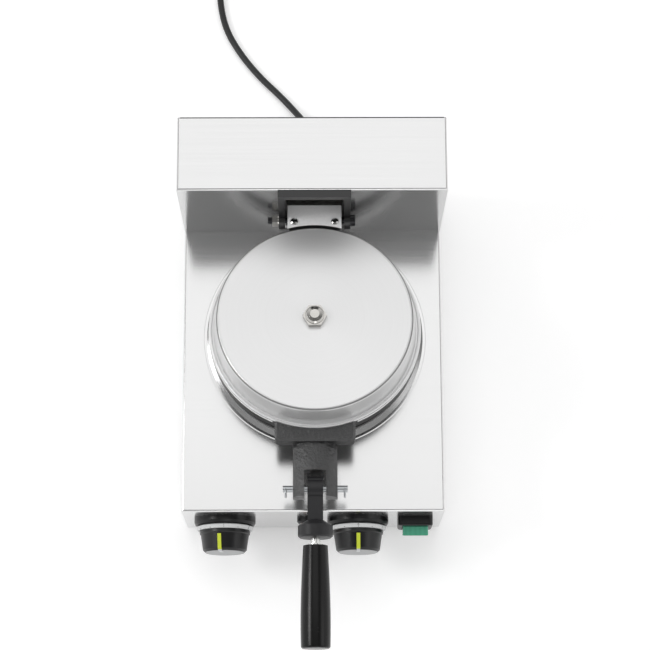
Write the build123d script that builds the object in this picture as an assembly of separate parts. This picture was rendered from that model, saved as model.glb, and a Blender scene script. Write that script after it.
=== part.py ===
from build123d import *
from math import cos, pi, radians, sin, sqrt, tan
import os

# A countertop burger press: two round cast moulds, a hinged lid with a latch lever, and a folded
# stainless base with a timer, a thermostat and a power switch. Millimetres. X is to the right,
# Y to the rear and Z up. While it is built, the front panel's outer face is at Y 0 and the table
# at Z 0. export_all() swings the lid to its rest position and centres the object on Y.

# Housing
body_width = 240.0
deck_depth = 266.0
tower_depth = 68.0
foot_height = 8.0
panel_height = 97.5
tower_height = 224.0
sheet = 1.2
bend_radius = 2.0
deck_z = foot_height + panel_height
tower_z = foot_height + tower_height
body_depth = deck_depth + tower_depth
half_width = body_width / 2

# Feet
foot_radius = 13.0
foot_inset = 24.0
foot_screw_radius = 2.0
foot_recess_radius = 6.0
foot_recess_depth = 4.0
foot_head_radius = 4.0
foot_head_height = 2.6

# Moulds, in the closed position. The cooking head stands a little right of the middle.
head_x = 2.0
parting_height = 19.5
parting_gap = 0.3
lower_rim_radius = 97.0
lower_rim_height = 7.0
lower_pan_setback = 9.0
lower_floor = 4.0
cavity_radius = 56.0
cavity_floor_radius = 42.0
lower_cavity_depth = 10.5
upper_cavity_depth = 24.0
crimp_radius = 61.0
crimp_width = 4.0
crimp_depth = 1.6
upper_rim_height = 11.7
upper_wall = 4.5
upper_rim_radius = lower_rim_radius - 0.5
lower_pan_radius = lower_rim_radius - lower_pan_setback
parting_z = deck_z + parting_height
rim_base_z = parting_z - lower_rim_height
upper_z = parting_z + parting_gap
rim_top_z = upper_z + upper_rim_height
floor_z = parting_z - lower_cavity_depth
roof_z = upper_z + upper_cavity_depth

# Drum under the lower mould
drum_flare = 3.0
drum_sheet = 1.5
drum_setback = 1.5
ring_width = 3.0
ring_height = 2.0
drum_foot_radius = lower_rim_radius + drum_flare
drum_top_radius = lower_rim_radius - drum_setback
ring_radius = drum_foot_radius + ring_width
wire_hole_radius = 18.0

# Lid cap
cap_height = 29.5
cap_inset = 4.5
cap_taper = 3.5
cap_shoulder = 3.0
cap_sheet = 1.2
bead_radius = 1.3
cap_nut_flats = 19.0
cap_nut_height = 5.0
cap_stud_radius = 4.0
cap_foot_radius = upper_rim_radius - cap_inset
cap_top_radius = cap_foot_radius - cap_taper
bead_ring_radius = upper_rim_radius - bead_radius - 0.7
lid_top_z = rim_top_z + cap_height

# Hinge
hinge_setback = 7.5
hinge_drop = 2.0
rim_behind_hinge = 1.0
hinge_pin_radius = 3.0
running_clearance = 0.05
lug_width = 46.0
lug_radius = 6.5
lug_top = 4.5
lug_tail = 12.0
arm_gap = 0.8
arm_thickness = 4.8
arm_clearance = 1.5
plate_overhang = 1.5
plate_sheet = 1.2
plate_gap = 0.8
rivet_spacing = 37.0
rivet_radius = 3.6
rivet_height = 1.8
rivet_setback = 3.8
bracket_width = 65.0
ear_thickness = 5.5
ear_boss_radius = 8.0
ear_foot_drop = 17.0
bracket_reach = 6.5
bracket_top_gap = 0.5
bar_height = 8.0
bracket_back = 2.5
window_margin = 1.5
window_drop = 22.0
hinge_nut_flats = 10.0
hinge_nut_length = 5.0
hinge_head_radius = 5.2
hinge_head_length = 4.5
pin_tail = 4.0
washer_radius = 5.5
washer_thickness = 1.0
bracket_screw_radius = 1.75
bracket_screw_head = 3.5
lid_ajar = 8.0
hinge_y = deck_depth - hinge_setback
hinge_z = lid_top_z - hinge_drop
mould_y = hinge_y - lower_rim_radius + rim_behind_hinge
bracket_y = deck_depth - bracket_reach
bracket_z = tower_z - bracket_top_gap

# Clevis and latch
block_width = 72.0
block_reach = 11.0
block_height = 15.0
clevis_width = 39.5
clevis_height = 10.5
clevis_length = 49.0
ear_bottom = 9.0
ear_end = 9.0
slot_width = 19.5
slot_reach = 14.5
latch_pin_drop = 1.0
latch_pin_radius = 3.0
pin_overhang = 9.0
clip_inset = 2.5
clip_radius = 3.6
clip_wire = 0.9
lever_width = 13.8
lever_head_radius = 9.5
lever_bar_height = 12.0
lever_reach = 28.0
boss_radius = 15.5
boss_cone = 5.0
boss_length = 15.5
stud_radius = 4.0
stud_gap = 7.0
stud_in_boss = 8.0
grip_length = 90.0
grip_start_radius = 10.9
grip_neck_radius = 12.3
grip_waist_radius = 13.2
grip_end_radius = 12.9
grip_bore_depth = 30.0
grip_end_fillet = 2.2
toe_depth = 17.5
toe_top = 13.0
toe_reach = 8.0
latch_angle = 30.0
latch_clearance = 0.4
tongue_width = 16.0
tongue_gap = 10.6
tongue_drop = 0.8
tongue_nose = 10.0
block_y = mould_y - upper_rim_radius - block_reach
clevis_y = block_y - clevis_length
latch_pin_y = clevis_y + ear_end
latch_pin_z = parting_z - latch_pin_drop
slot_end_y = latch_pin_y + slot_reach
tongue_y = latch_pin_y + tongue_gap
toe_rise = toe_reach * sin(radians(latch_angle)) - toe_top * cos(radians(latch_angle))
tongue_bottom_z = latch_pin_z + toe_rise + latch_clearance

# Controls on the front panel
timer_inset = 38.0
thermostat_share = 0.34583
knob_drop = 43.5
bezel_radius = 28.4
bezel_depth = 7.5
dial_radius = 26.6
dial_depth = 4.0
knob_base_radius = 23.4
knob_front_radius = 20.3
knob_skirt = 3.5
knob_length = 19.4
knob_gap = 0.4
pointer_width = 3.4
pointer_height = 0.8
pointer_start = 4.6
pointer_drop = 12.0
timer_lean = 11.0
shaft_radius = 3.0
shaft_bore_depth = 14.0
shaft_depth_inside = 14.0
shaft_hole_gap = 0.5
gearbox_width = 46.0
gearbox_height = 50.0
gearbox_depth = 38.0
switch_inset = 25.5
switch_rise = 2.0
switch_width = 32.0
switch_height = 31.0
switch_depth = 9.0
rocker_width = 23.5
rocker_height = 22.0
rocker_front = 13.0
rocker_pivot = 1.5
rocker_pin_radius = 1.2
rocker_tilt = 8.0
rocker_gap = 0.4
rocker_swing = 1.3
switch_body_depth = 24.0
lamp_share = -0.03333
lamp_rise = 4.0
lamp_radius = 11.0
lamp_depth = 5.5
lens_radius = 7.5
lens_height = 3.0
lamp_body_depth = 22.0
timer_x = -half_width + timer_inset
thermostat_x = half_width * thermostat_share
lamp_x = half_width * lamp_share
switch_x = half_width - switch_inset
knob_z = deck_z - knob_drop
switch_z = knob_z + switch_rise
lamp_z = knob_z + lamp_rise

# Heating
element_tube = 3.2
element_sleeve = 3.8
element_stand = 0.6
element_inset = 8.0
element_gap = 26.0
element_leg = 12.0
pad_thickness = 8.0
pad_gap = 5.5
pad_margin = 6.0
bulb_radius = 2.5
bulb_length = 40.0
bulb_sink = 1.0
shield_drop = 9.0
shield_sheet = 1.0
pad_outer_radius = cap_foot_radius - pad_margin
pad_inner_radius = cavity_radius + upper_wall + pad_gap
element_radius = pad_inner_radius + element_inset

# Back panel, terminals and mains lead
louvre_count = 6
louvre_width = 60.0
louvre_height = 4.0
louvre_pitch = 10.0
louvre_z = 150.0
vent_count = 9
vent_pitch = 15.0
gland_x = 0.0
gland_z = 26.0
gland_radius = 9.0
gland_flange = 3.5
gland_nut = 4.0
gland_length = 30.0
gland_tip_radius = 4.8
terminal_width = 46.0
terminal_depth = 20.0
terminal_height = 18.0
terminal_setback = 34.0
cord_diameter = 6.5
cord_radius = cord_diameter / 2
cord_lie = cord_radius + 0.05
cord_route = [
    (0.0, body_depth + gland_length, gland_z),
    (0.0, 380.0, gland_z),
    (-3.0, 396.0, 20.5),
    (-9.5, 410.0, 11.0),
    (-19.0, 423.5, 4.5),
    (-33.0, 439.5, cord_lie),
    (-53.0, 459.0, cord_lie),
    (-72.0, 483.0, cord_lie),
    (-87.0, 509.0, cord_lie),
    (-93.5, 537.0, cord_lie),
    (-94.5, 566.0, cord_lie),
    (-94.5, 593.0, cord_lie),
]
coil_inner_radius = 26.0
coil_pitch = 8.6
coil_layer = 7.4
coil_turns_in = 2.5
coil_turns_out = 2.0
coil_tail = 45.0
plug_width = 27.0
plug_height = 25.0
plug_body = 27.0
plug_nose = 21.0
plug_nose_radius = 4.4
blade_spacing = 12.7
blade_width = 6.3
blade_sheet = 1.5
blade_length = 17.0
earth_radius = 2.4
earth_length = 20.0
earth_offset = 11.9

built = {}


def block(x0, x1, y0, y1, z0, z1):
    """A box between two corners."""
    return Pos((x0 + x1) / 2, (y0 + y1) / 2, (z0 + z1) / 2) * Box(x1 - x0, y1 - y0, z1 - z0)


def rod_x(radius, x0, x1, y, z):
    """A round bar along X."""
    return Pos((x0 + x1) / 2, y, z) * Rot(0, 90, 0) * Cylinder(radius, x1 - x0)


def rod_y(radius, y0, y1, x, z):
    """A round bar along Y."""
    return Pos(x, (y0 + y1) / 2, z) * Rot(90, 0, 0) * Cylinder(radius, y1 - y0)


def rod_z(radius, z0, z1, x, y):
    """A round bar along Z."""
    return Pos(x, y, (z0 + z1) / 2) * Cylinder(radius, z1 - z0)


def turned(points):
    """A solid of revolution about Z from (radius, height) points."""
    return revolve(make_face(Plane.XZ * Polyline(*points, close=True)), Axis.Z)


def turned_y(points):
    """A solid of revolution about Y from (radius, y) points."""
    return revolve(make_face(Polyline(*points, close=True)), Axis.Y)


def side_plate(points, x0, x1):
    """A side profile of (y, z) points, thick from x0 to x1."""
    face = make_face(Plane.YZ * Polyline(*points, close=True))
    return Pos(x0, 0, 0) * extrude(face, amount=x1 - x0, dir=(1, 0, 0))


def folded_box(y0, y1, z1):
    """The outside of a sheet housing whose front and side folds are rounded along the top."""
    outer = block(-half_width, half_width, y0, y1, foot_height, z1)
    top = outer.edges().group_by(Axis.Z)[-1]
    folds = top.filter_by(Axis.Y) + top.filter_by(Axis.X).group_by(Axis.Y)[0]
    return fillet(folds, bend_radius)


def window(y0, y1):
    """The opening in which the hinge lug swings and through which the lid's wires pass."""
    inner = bracket_width / 2 - ear_thickness - window_margin
    top = bracket_z - bar_height - window_margin
    return block(head_x - inner, head_x + inner, y0, y1, hinge_z - window_drop, top)


def slot_row(solid, count, pitch, centres, shape):
    """Cuts a row of round-ended slots."""
    for i in range(count):
        for centre in centres:
            solid -= shape(centre, i * pitch)
    return solid


def louvre(x, rise):
    """One louvre slot in the back panel."""
    z = louvre_z + rise
    slot = block(x - louvre_width / 2, x + louvre_width / 2, body_depth - 2 * sheet,
                 body_depth + sheet, z, z + louvre_height)
    return fillet(slot.edges().filter_by(Axis.Y), louvre_height * 0.48)


def vent(y, advance):
    """One vent slot in the bottom plate."""
    slot = block(head_x - louvre_width / 2, head_x + louvre_width / 2, y + advance,
                 y + advance + louvre_height, foot_height - sheet, foot_height + 2 * sheet)
    return fillet(slot.edges().filter_by(Axis.Z), louvre_height * 0.48)


def make_housing():
    """The deck shell, the tower shell, the back panel and the bottom plate."""
    inner = half_width - sheet
    deck = folded_box(0, deck_depth, deck_z)
    deck -= block(-inner, inner, sheet, deck_depth + 1, foot_height - 1, deck_z - sheet)
    leg_y = mould_y + sqrt(element_radius ** 2 - (element_gap / 2) ** 2)
    deck -= rod_z(wire_hole_radius, deck_z - 2 * sheet, deck_z + sheet, head_x, leg_y)
    for x in (timer_x, thermostat_x):
        deck -= rod_y(shaft_radius + shaft_hole_gap, -sheet, 2 * sheet, x, knob_z)
    deck -= block(switch_x - rocker_width / 2, switch_x + rocker_width / 2, -sheet, 2 * sheet,
                  switch_z - rocker_height / 2, switch_z + rocker_height / 2)
    deck -= rod_y(lens_radius, -sheet, 2 * sheet, lamp_x, lamp_z)
    built["deck_shell"] = deck

    tower = folded_box(deck_depth, body_depth, tower_z)
    tower -= block(-inner, inner, deck_depth + sheet, body_depth + 1, foot_height - 1, tower_z - sheet)
    tower -= block(-inner, inner, deck_depth - 1, deck_depth + 2 * sheet, foot_height - 1, deck_z - sheet)
    tower -= window(deck_depth - 1, deck_depth + 2 * sheet)
    for x, z in bracket_screw_places():
        tower -= rod_y(bracket_screw_radius, deck_depth - 1, deck_depth + 2 * sheet, x, z)
    built["tower_shell"] = tower

    back = block(-inner, inner, body_depth - sheet, body_depth, foot_height + sheet, tower_z - sheet)
    back = slot_row(back, louvre_count, louvre_pitch, (-half_width / 2, half_width / 2), louvre)
    back -= rod_y(gland_radius, body_depth - 2 * sheet, body_depth + sheet, gland_x, gland_z)
    built["back_panel"] = back

    bottom = block(-inner, inner, sheet, body_depth, foot_height, foot_height + sheet)
    first = mould_y - (vent_count - 1) / 2 * vent_pitch
    bottom = slot_row(bottom, vent_count, vent_pitch, (first,), vent)
    for x, y in foot_places().values():
        bottom -= rod_z(foot_screw_radius, foot_height - 1, foot_height + 2 * sheet, x, y)
    built["bottom_plate"] = bottom


def foot_places():
    """The four feet, by name."""
    x = half_width - foot_inset
    rear = body_depth - foot_inset
    return {"front_left": (-x, foot_inset), "front_right": (x, foot_inset),
            "rear_left": (-x, rear), "rear_right": (x, rear)}


def make_feet():
    """Four tapered rubber feet, each with a screw in its recess."""
    head_z = foot_recess_depth - foot_head_height
    foot = turned([
        (foot_screw_radius, foot_recess_depth), (foot_recess_radius, foot_recess_depth),
        (foot_recess_radius, 0), (foot_radius - 1.5, 0), (foot_radius, 1.5),
        (foot_radius + 0.8, foot_height), (foot_screw_radius, foot_height)])
    screw = turned([
        (0, head_z), (foot_head_radius - 1, head_z), (foot_head_radius, head_z + 1),
        (foot_head_radius, foot_recess_depth), (foot_screw_radius, foot_recess_depth),
        (foot_screw_radius, foot_height + 4 * sheet), (0, foot_height + 4 * sheet)])
    screws = []
    for name, (x, y) in foot_places().items():
        built["foot_" + name] = Pos(x, y, 0) * foot
        screws.append(Pos(x, y, 0) * screw)
    built["foot_screws"] = Compound(screws)


def ring_element(surface_z, way):
    """A tubular heating ring, sunk in a casting, with a gap at the rear and a sleeve on each end."""
    half_gap = element_gap / 2
    y = sqrt(element_radius ** 2 - half_gap ** 2)
    ring = Torus(element_radius, element_tube)
    ring -= Pos(0, element_radius, 0) * Box(element_gap, element_tube * 6, element_tube * 4)
    for x in (-half_gap, half_gap):
        ring += rod_z(element_sleeve, min(-way * element_sleeve, way * element_leg),
                      max(-way * element_sleeve, way * element_leg), x, y)
    return Pos(head_x, mould_y, surface_z + way * element_stand) * ring


def make_lower_mould():
    """The trim ring, the drum wall, the cast mould with its tongue, and what heats it."""
    place = Pos(head_x, mould_y, 0)
    ring_top = deck_z + ring_height
    built["deck_ring"] = place * turned([
        (drum_foot_radius, deck_z), (ring_radius, deck_z), (ring_radius, ring_top - 0.8),
        (ring_radius - 0.8, ring_top), (drum_foot_radius, ring_top)])
    built["lower_drum"] = place * turned([
        (drum_foot_radius - drum_sheet, deck_z), (drum_foot_radius, deck_z),
        (drum_foot_radius, ring_top), (drum_top_radius, rim_base_z),
        (drum_top_radius - drum_sheet, rim_base_z), (drum_foot_radius - drum_sheet, ring_top)])

    under_z = floor_z - lower_floor
    mould = place * turned([
        (0, under_z), (lower_pan_radius, under_z), (lower_pan_radius, rim_base_z),
        (lower_rim_radius - 1, rim_base_z), (lower_rim_radius, rim_base_z + 1),
        (lower_rim_radius, parting_z - 1), (lower_rim_radius - 1, parting_z),
        (crimp_radius + crimp_width, parting_z),
        (crimp_radius + crimp_width - crimp_depth / 2, parting_z - crimp_depth),
        (crimp_radius + crimp_depth / 2, parting_z - crimp_depth), (crimp_radius, parting_z),
        (cavity_radius, parting_z), (cavity_floor_radius, floor_z), (0, floor_z)])
    element = ring_element(under_z, -1)
    bulb_z = under_z - bulb_radius + bulb_sink
    bulb = rod_x(bulb_radius, head_x - bulb_length / 2, head_x + bulb_length / 2, mould_y, bulb_z)
    mould -= element
    mould -= bulb
    top = parting_z - tongue_drop
    root = mould_y - lower_rim_radius + 6
    base = rim_base_z + tongue_drop
    tongue = side_plate([
        (tongue_y, tongue_bottom_z), (tongue_y + tongue_nose, tongue_bottom_z),
        (tongue_y + tongue_nose + 6, base), (root, base), (root, top), (tongue_y, top)],
        head_x - tongue_width / 2, head_x + tongue_width / 2)
    tongue = fillet(tongue.edges().filter_by(Axis.Z).group_by(Axis.Y)[0], tongue_width / 5)
    built["lower_mould"] = mould + tongue
    built["lower_element"] = element
    built["sensing_bulb"] = bulb

    shield_z = deck_z - sheet - shield_drop
    shield = place * Pos(0, 0, shield_z + shield_sheet / 2) * Cylinder(drum_foot_radius, shield_sheet)
    for side in (-1, 1):
        x = head_x + side * (drum_foot_radius - 6)
        shield += block(x - 5, x + 5, mould_y - 8, mould_y + 8, shield_z, deck_z - sheet)
    built["heat_shield"] = shield


def make_upper_mould():
    """The cast upper mould: its cavity, the front block with the clevis, and the hinge arm."""
    mould = turned([
        (0, roof_z), (cavity_floor_radius, roof_z), (cavity_radius, upper_z + 4),
        (cavity_radius, upper_z), (upper_rim_radius - 1, upper_z), (upper_rim_radius, upper_z + 1),
        (upper_rim_radius, rim_top_z - 1), (upper_rim_radius - 1, rim_top_z),
        (cavity_radius + upper_wall + 4, rim_top_z),
        (cavity_floor_radius + upper_wall, roof_z + upper_wall), (0, roof_z + upper_wall)])
    mould = Pos(0, mould_y, 0) * mould
    inside = rod_z(cavity_radius + upper_wall + 5, rim_base_z, lid_top_z, 0, mould_y)

    front = block(-block_width / 2, block_width / 2, block_y, mould_y, upper_z, upper_z + block_height)
    front = fillet(front.edges().filter_by(Axis.Z).group_by(Axis.Y)[0], 4.0)
    front = chamfer(front.edges().group_by(Axis.Z)[-1].group_by(Axis.Y)[0], 2.0)
    front = chamfer(front.edges().group_by(Axis.Z)[0].group_by(Axis.Y)[0], 2.0)
    front -= rod_z(upper_rim_radius, rim_top_z, rim_top_z + block_height, 0, mould_y)
    mould += front - inside

    half = clevis_width / 2
    bottom_z = parting_z - ear_bottom
    top_z = upper_z + clevis_height
    spring_z = top_z - clevis_width / 5
    inner_y = block_y + 4
    arch = make_face(Plane.XZ * (
        Polyline((-half, spring_z), (-half, bottom_z), (half, bottom_z), (half, spring_z))
        + ThreePointArc((half, spring_z), (0, top_z), (-half, spring_z))))
    clevis = Pos(0, inner_y, 0) * extrude(arch, amount=inner_y - clevis_y, dir=(0, -1, 0))
    clevis &= side_plate([
        (inner_y, upper_z), (slot_end_y + 5, upper_z), (slot_end_y + 2, bottom_z + 2),
        (slot_end_y, bottom_z), (clevis_y + 4, bottom_z), (clevis_y + 1, bottom_z + 2),
        (clevis_y, bottom_z + 5), (clevis_y, top_z + 1), (inner_y, top_z + 1)], -half, half)
    gap = slot_width / 2
    clevis -= block(-gap, gap, clevis_y - 1, slot_end_y, bottom_z - 1, top_z + 1)
    clevis -= block(-gap, gap, clevis_y - 1, inner_y + 1, bottom_z - 1, upper_z)
    clevis -= rod_x(latch_pin_radius, -half - 1, half + 1, latch_pin_y, latch_pin_z)
    mould += clevis

    rim_y = mould_y + lower_rim_radius
    arm_y = rim_y + arm_gap - 0.5
    rear_y = arm_y + arm_thickness
    side = lug_width / 2
    base_z = parting_z + arm_clearance
    arm = block(-side, side, arm_y, rear_y, base_z, hinge_z)
    arm += block(-side, side, mould_y, rear_y, base_z, rim_top_z - 1) - inside
    lug = rod_x(lug_radius, -side, side, hinge_y, hinge_z)
    lug += block(-side, side, hinge_y - 10, hinge_y + lug_tail, hinge_z, hinge_z + lug_top)
    lug -= rod_z(cap_top_radius + plate_gap, rim_top_z, hinge_z + cap_height, 0, mould_y)
    lug -= block(-side, side, hinge_y - 2 * lug_tail, hinge_y + 2 * lug_tail, hinge_z + lug_top, hinge_z + lug_radius + 1)
    mould += arm + lug
    mould -= rod_x(hinge_pin_radius + running_clearance, -lug_width, lug_width, hinge_y, hinge_z)
    element = Pos(-head_x, 0, 0) * ring_element(rim_top_z, 1)
    mould -= element
    built["upper_mould"] = Pos(head_x, 0, 0) * mould
    built["upper_element"] = Pos(head_x, 0, 0) * element


def make_lid_parts():
    """The cap with its bead, its stud and nut, the pad, the hinge cover plate and the rivets."""
    place = Pos(head_x, mould_y, 0)
    outer = turned([(0, rim_top_z), (cap_foot_radius, rim_top_z), (cap_top_radius, lid_top_z), (0, lid_top_z)])
    outer = fillet(outer.edges().group_by(Axis.Z)[-1], cap_shoulder)
    inner_top = lid_top_z - cap_sheet
    inner = turned([(0, rim_top_z - 1), (cap_foot_radius - cap_sheet, rim_top_z - 1),
                    (cap_foot_radius - cap_sheet, rim_top_z), (cap_top_radius - cap_sheet, inner_top),
                    (0, inner_top)])
    inner = fillet(inner.edges().group_by(Axis.Z)[-1], cap_shoulder - cap_sheet)
    flange = turned([
        (cap_foot_radius - cap_sheet, rim_top_z), (bead_ring_radius, rim_top_z),
        (bead_ring_radius, rim_top_z + cap_sheet), (cap_foot_radius - cap_sheet, rim_top_z + cap_sheet)])
    cap = outer + flange - inner
    cap += Pos(0, 0, rim_top_z + bead_radius) * Torus(bead_ring_radius, bead_radius)
    cap -= rod_z(cap_stud_radius, lid_top_z - 3, lid_top_z + 3, 0, 0)
    built["lid_cap"] = place * cap
    built["cap_stud"] = rod_z(cap_stud_radius, roof_z + upper_wall, lid_top_z, head_x, mould_y)

    nut = extrude(RegularPolygon(cap_nut_flats / 2, 6, major_radius=False), amount=cap_nut_height)
    nut += turned([
        (0, cap_nut_height - 1), (cap_nut_flats * 0.46, cap_nut_height - 1),
        (cap_nut_flats * 0.45, cap_nut_height + 0.8), (cap_nut_flats * 0.37, cap_nut_height + 2.4),
        (cap_nut_flats * 0.22, cap_nut_height + 3.5), (0, cap_nut_height + 4.0)])
    built["cap_nut"] = Pos(head_x, mould_y, lid_top_z) * nut

    pad = turned([(pad_inner_radius, rim_top_z), (pad_outer_radius, rim_top_z),
                  (pad_outer_radius, rim_top_z + pad_thickness), (pad_inner_radius, rim_top_z + pad_thickness)])
    pad -= Pos(0, element_radius, rim_top_z + pad_thickness / 2) * Box(
        element_gap + 4 * element_tube, 4 * pad_margin + 4 * element_inset, pad_thickness + 2)
    built["insulation_pad"] = place * pad - built["upper_element"]

    plate_z = hinge_z + lug_top
    half = lug_width / 2 + plate_overhang
    plate = block(-half, half, hinge_y - 14, hinge_y + lug_tail + 0.6, plate_z, plate_z + plate_sheet)
    plate -= rod_z(cap_top_radius + plate_gap, plate_z - 1, plate_z + plate_sheet + 1, 0, mould_y)
    rivets = []
    for x in (-rivet_spacing / 2, rivet_spacing / 2):
        y = hinge_y - rivet_setback
        rivets.append(Pos(head_x + x, y, plate_z + plate_sheet) * turned([
            (0, 0), (rivet_radius, 0), (rivet_radius * 0.9, rivet_height * 0.5),
            (rivet_radius * 0.5, rivet_height * 0.92), (0, rivet_height)]))
    built["wire_cover"] = Pos(head_x, 0, 0) * plate
    built["cover_rivets"] = Compound(rivets)

    reach = clevis_width / 2 + pin_overhang
    latch_pin = rod_x(latch_pin_radius, -reach, reach, latch_pin_y, latch_pin_z)
    clips = []
    for x in (clip_inset - reach, reach - clip_inset):
        clip = Pos(x, latch_pin_y - clip_radius, latch_pin_z) * Rot(0, 90, 0) * Torus(clip_radius, clip_wire)
        latch_pin -= clip
        clips.append(Pos(head_x, 0, 0) * clip)
    built["latch_pin"] = Pos(head_x, 0, 0) * latch_pin
    built["pin_clips"] = Compound(clips)


def make_lever():
    """The cast lever with its hook toe and boss, the stud and the grip, built level."""
    half = lever_width / 2
    side = lever_bar_height / 2
    toe = side_plate([
        (-lever_reach - boss_cone, side), (-lever_reach - boss_cone, -side), (-12.0, -side),
        (-7.0, -side - 2.0), (-4.5, -toe_depth + 2.5), (-2.5, -toe_depth),
        (toe_reach - 3.5, -toe_depth), (toe_reach, -toe_top - 1.2), (toe_reach, -toe_top),
        (4.5, -toe_top), (3.0, -toe_top + 1.5), (4.0, -side), (lever_head_radius - 1.5, -side),
        (lever_head_radius + 0.5, side - 1.5), (lever_head_radius - 1.0, side)], -half, half)
    lever = toe + rod_x(lever_head_radius, -half, half, 0, 0)
    boss_end = -lever_reach - boss_length
    lever += turned_y([
        (0, -lever_reach + 2), (half * 0.8, -lever_reach + 1), (boss_radius, -lever_reach - boss_cone),
        (boss_radius, boss_end + 1.5), (boss_radius - 1.5, boss_end), (0, boss_end)])
    lever -= rod_x(latch_pin_radius + running_clearance, -half - 1, half + 1, 0, 0)
    lever -= rod_y(stud_radius, boss_end - 1, boss_end + stud_in_boss, 0, 0)
    grip_y = boss_end - stud_gap
    stud = rod_y(stud_radius, grip_y - grip_bore_depth, boss_end + stud_in_boss, 0, 0)
    stud += rod_y(stud_radius + 2.6, grip_y, grip_y + 1.6, 0, 0)
    profile = make_face(
        Polyline((grip_end_radius, -grip_length), (0, -grip_length), (0, 0), (grip_start_radius, 0))
        + Spline((grip_start_radius, 0), (grip_neck_radius, -0.3 * grip_length),
                 (grip_waist_radius, -0.65 * grip_length), (grip_end_radius, -grip_length)))
    grip = revolve(profile, Axis.Y)
    grip = fillet(grip.edges().group_by(Axis.Y)[0], grip_end_fillet)
    grip = Pos(0, grip_y, 0) * grip
    grip -= rod_y(stud_radius, grip_y - grip_bore_depth, grip_y + 1, 0, 0)
    place = Pos(head_x, latch_pin_y, latch_pin_z)
    built["latch_lever"] = place * lever
    built["handle_stud"] = place * stud
    built["handle_grip"] = place * grip


def bracket_screw_places():
    """Where the bracket is screwed to the tower from behind."""
    x = bracket_width / 2 - ear_thickness / 2
    low = hinge_z - ear_foot_drop * 0.6
    high = bracket_z - bar_height - 8
    return [(head_x - x, low), (head_x + x, low), (head_x - x, high), (head_x + x, high)]


def make_bracket():
    """The bracket on the tower and its screws, the hinge pin, its washer and its nut."""
    half = bracket_width / 2
    inner = half - ear_thickness
    foot_z = hinge_z - ear_foot_drop
    ears = side_plate([
        (deck_depth, bracket_z), (bracket_y, bracket_z), (bracket_y, hinge_z - 4),
        (hinge_y - ear_boss_radius * 0.6, hinge_z - ear_boss_radius * 0.8), (bracket_y + 1.5, foot_z),
        (deck_depth, foot_z)], -half, half)
    ears += rod_x(ear_boss_radius, -half, half, hinge_y, hinge_z)
    ears &= block(-half, half, 0, deck_depth, foot_z, bracket_z)
    ears -= block(-inner, inner, 0, deck_depth - bracket_back, foot_z - 1, bracket_z - bar_height)
    ears -= rod_x(hinge_pin_radius, -half - 1, half + 1, hinge_y, hinge_z)
    bracket = Pos(head_x, 0, 0) * ears - window(deck_depth - bracket_reach, deck_depth + 1)
    screws = []
    back = deck_depth + sheet
    for x, z in bracket_screw_places():
        screw = rod_y(bracket_screw_radius, deck_depth - 4.5, back, x, z)
        bracket -= screw
        screws.append(screw + rod_y(bracket_screw_head, back, back + 2, x, z))
    built["hinge_bracket"] = bracket
    built["bracket_screws"] = Compound(screws)

    place = Pos(head_x, hinge_y, hinge_z)
    nut_x = -half - washer_thickness
    pin = rod_x(hinge_pin_radius, nut_x - hinge_nut_length - pin_tail, half, 0, 0)
    pin += rod_x(hinge_head_radius, half, half + hinge_head_length, 0, 0)
    washer = rod_x(washer_radius, nut_x, -half, 0, 0) - rod_x(hinge_pin_radius, nut_x - 1, -half + 1, 0, 0)
    hexagon = Plane.YZ * RegularPolygon(hinge_nut_flats / 2, 6, major_radius=False)
    nut = Pos(nut_x - hinge_nut_length, 0, 0) * extrude(hexagon, amount=hinge_nut_length, dir=(1, 0, 0))
    nut -= rod_x(hinge_pin_radius, nut_x - hinge_nut_length - 1, nut_x + 1, 0, 0)
    built["hinge_pin"] = place * pin
    built["hinge_washer"] = place * washer
    built["hinge_nut"] = place * nut


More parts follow.
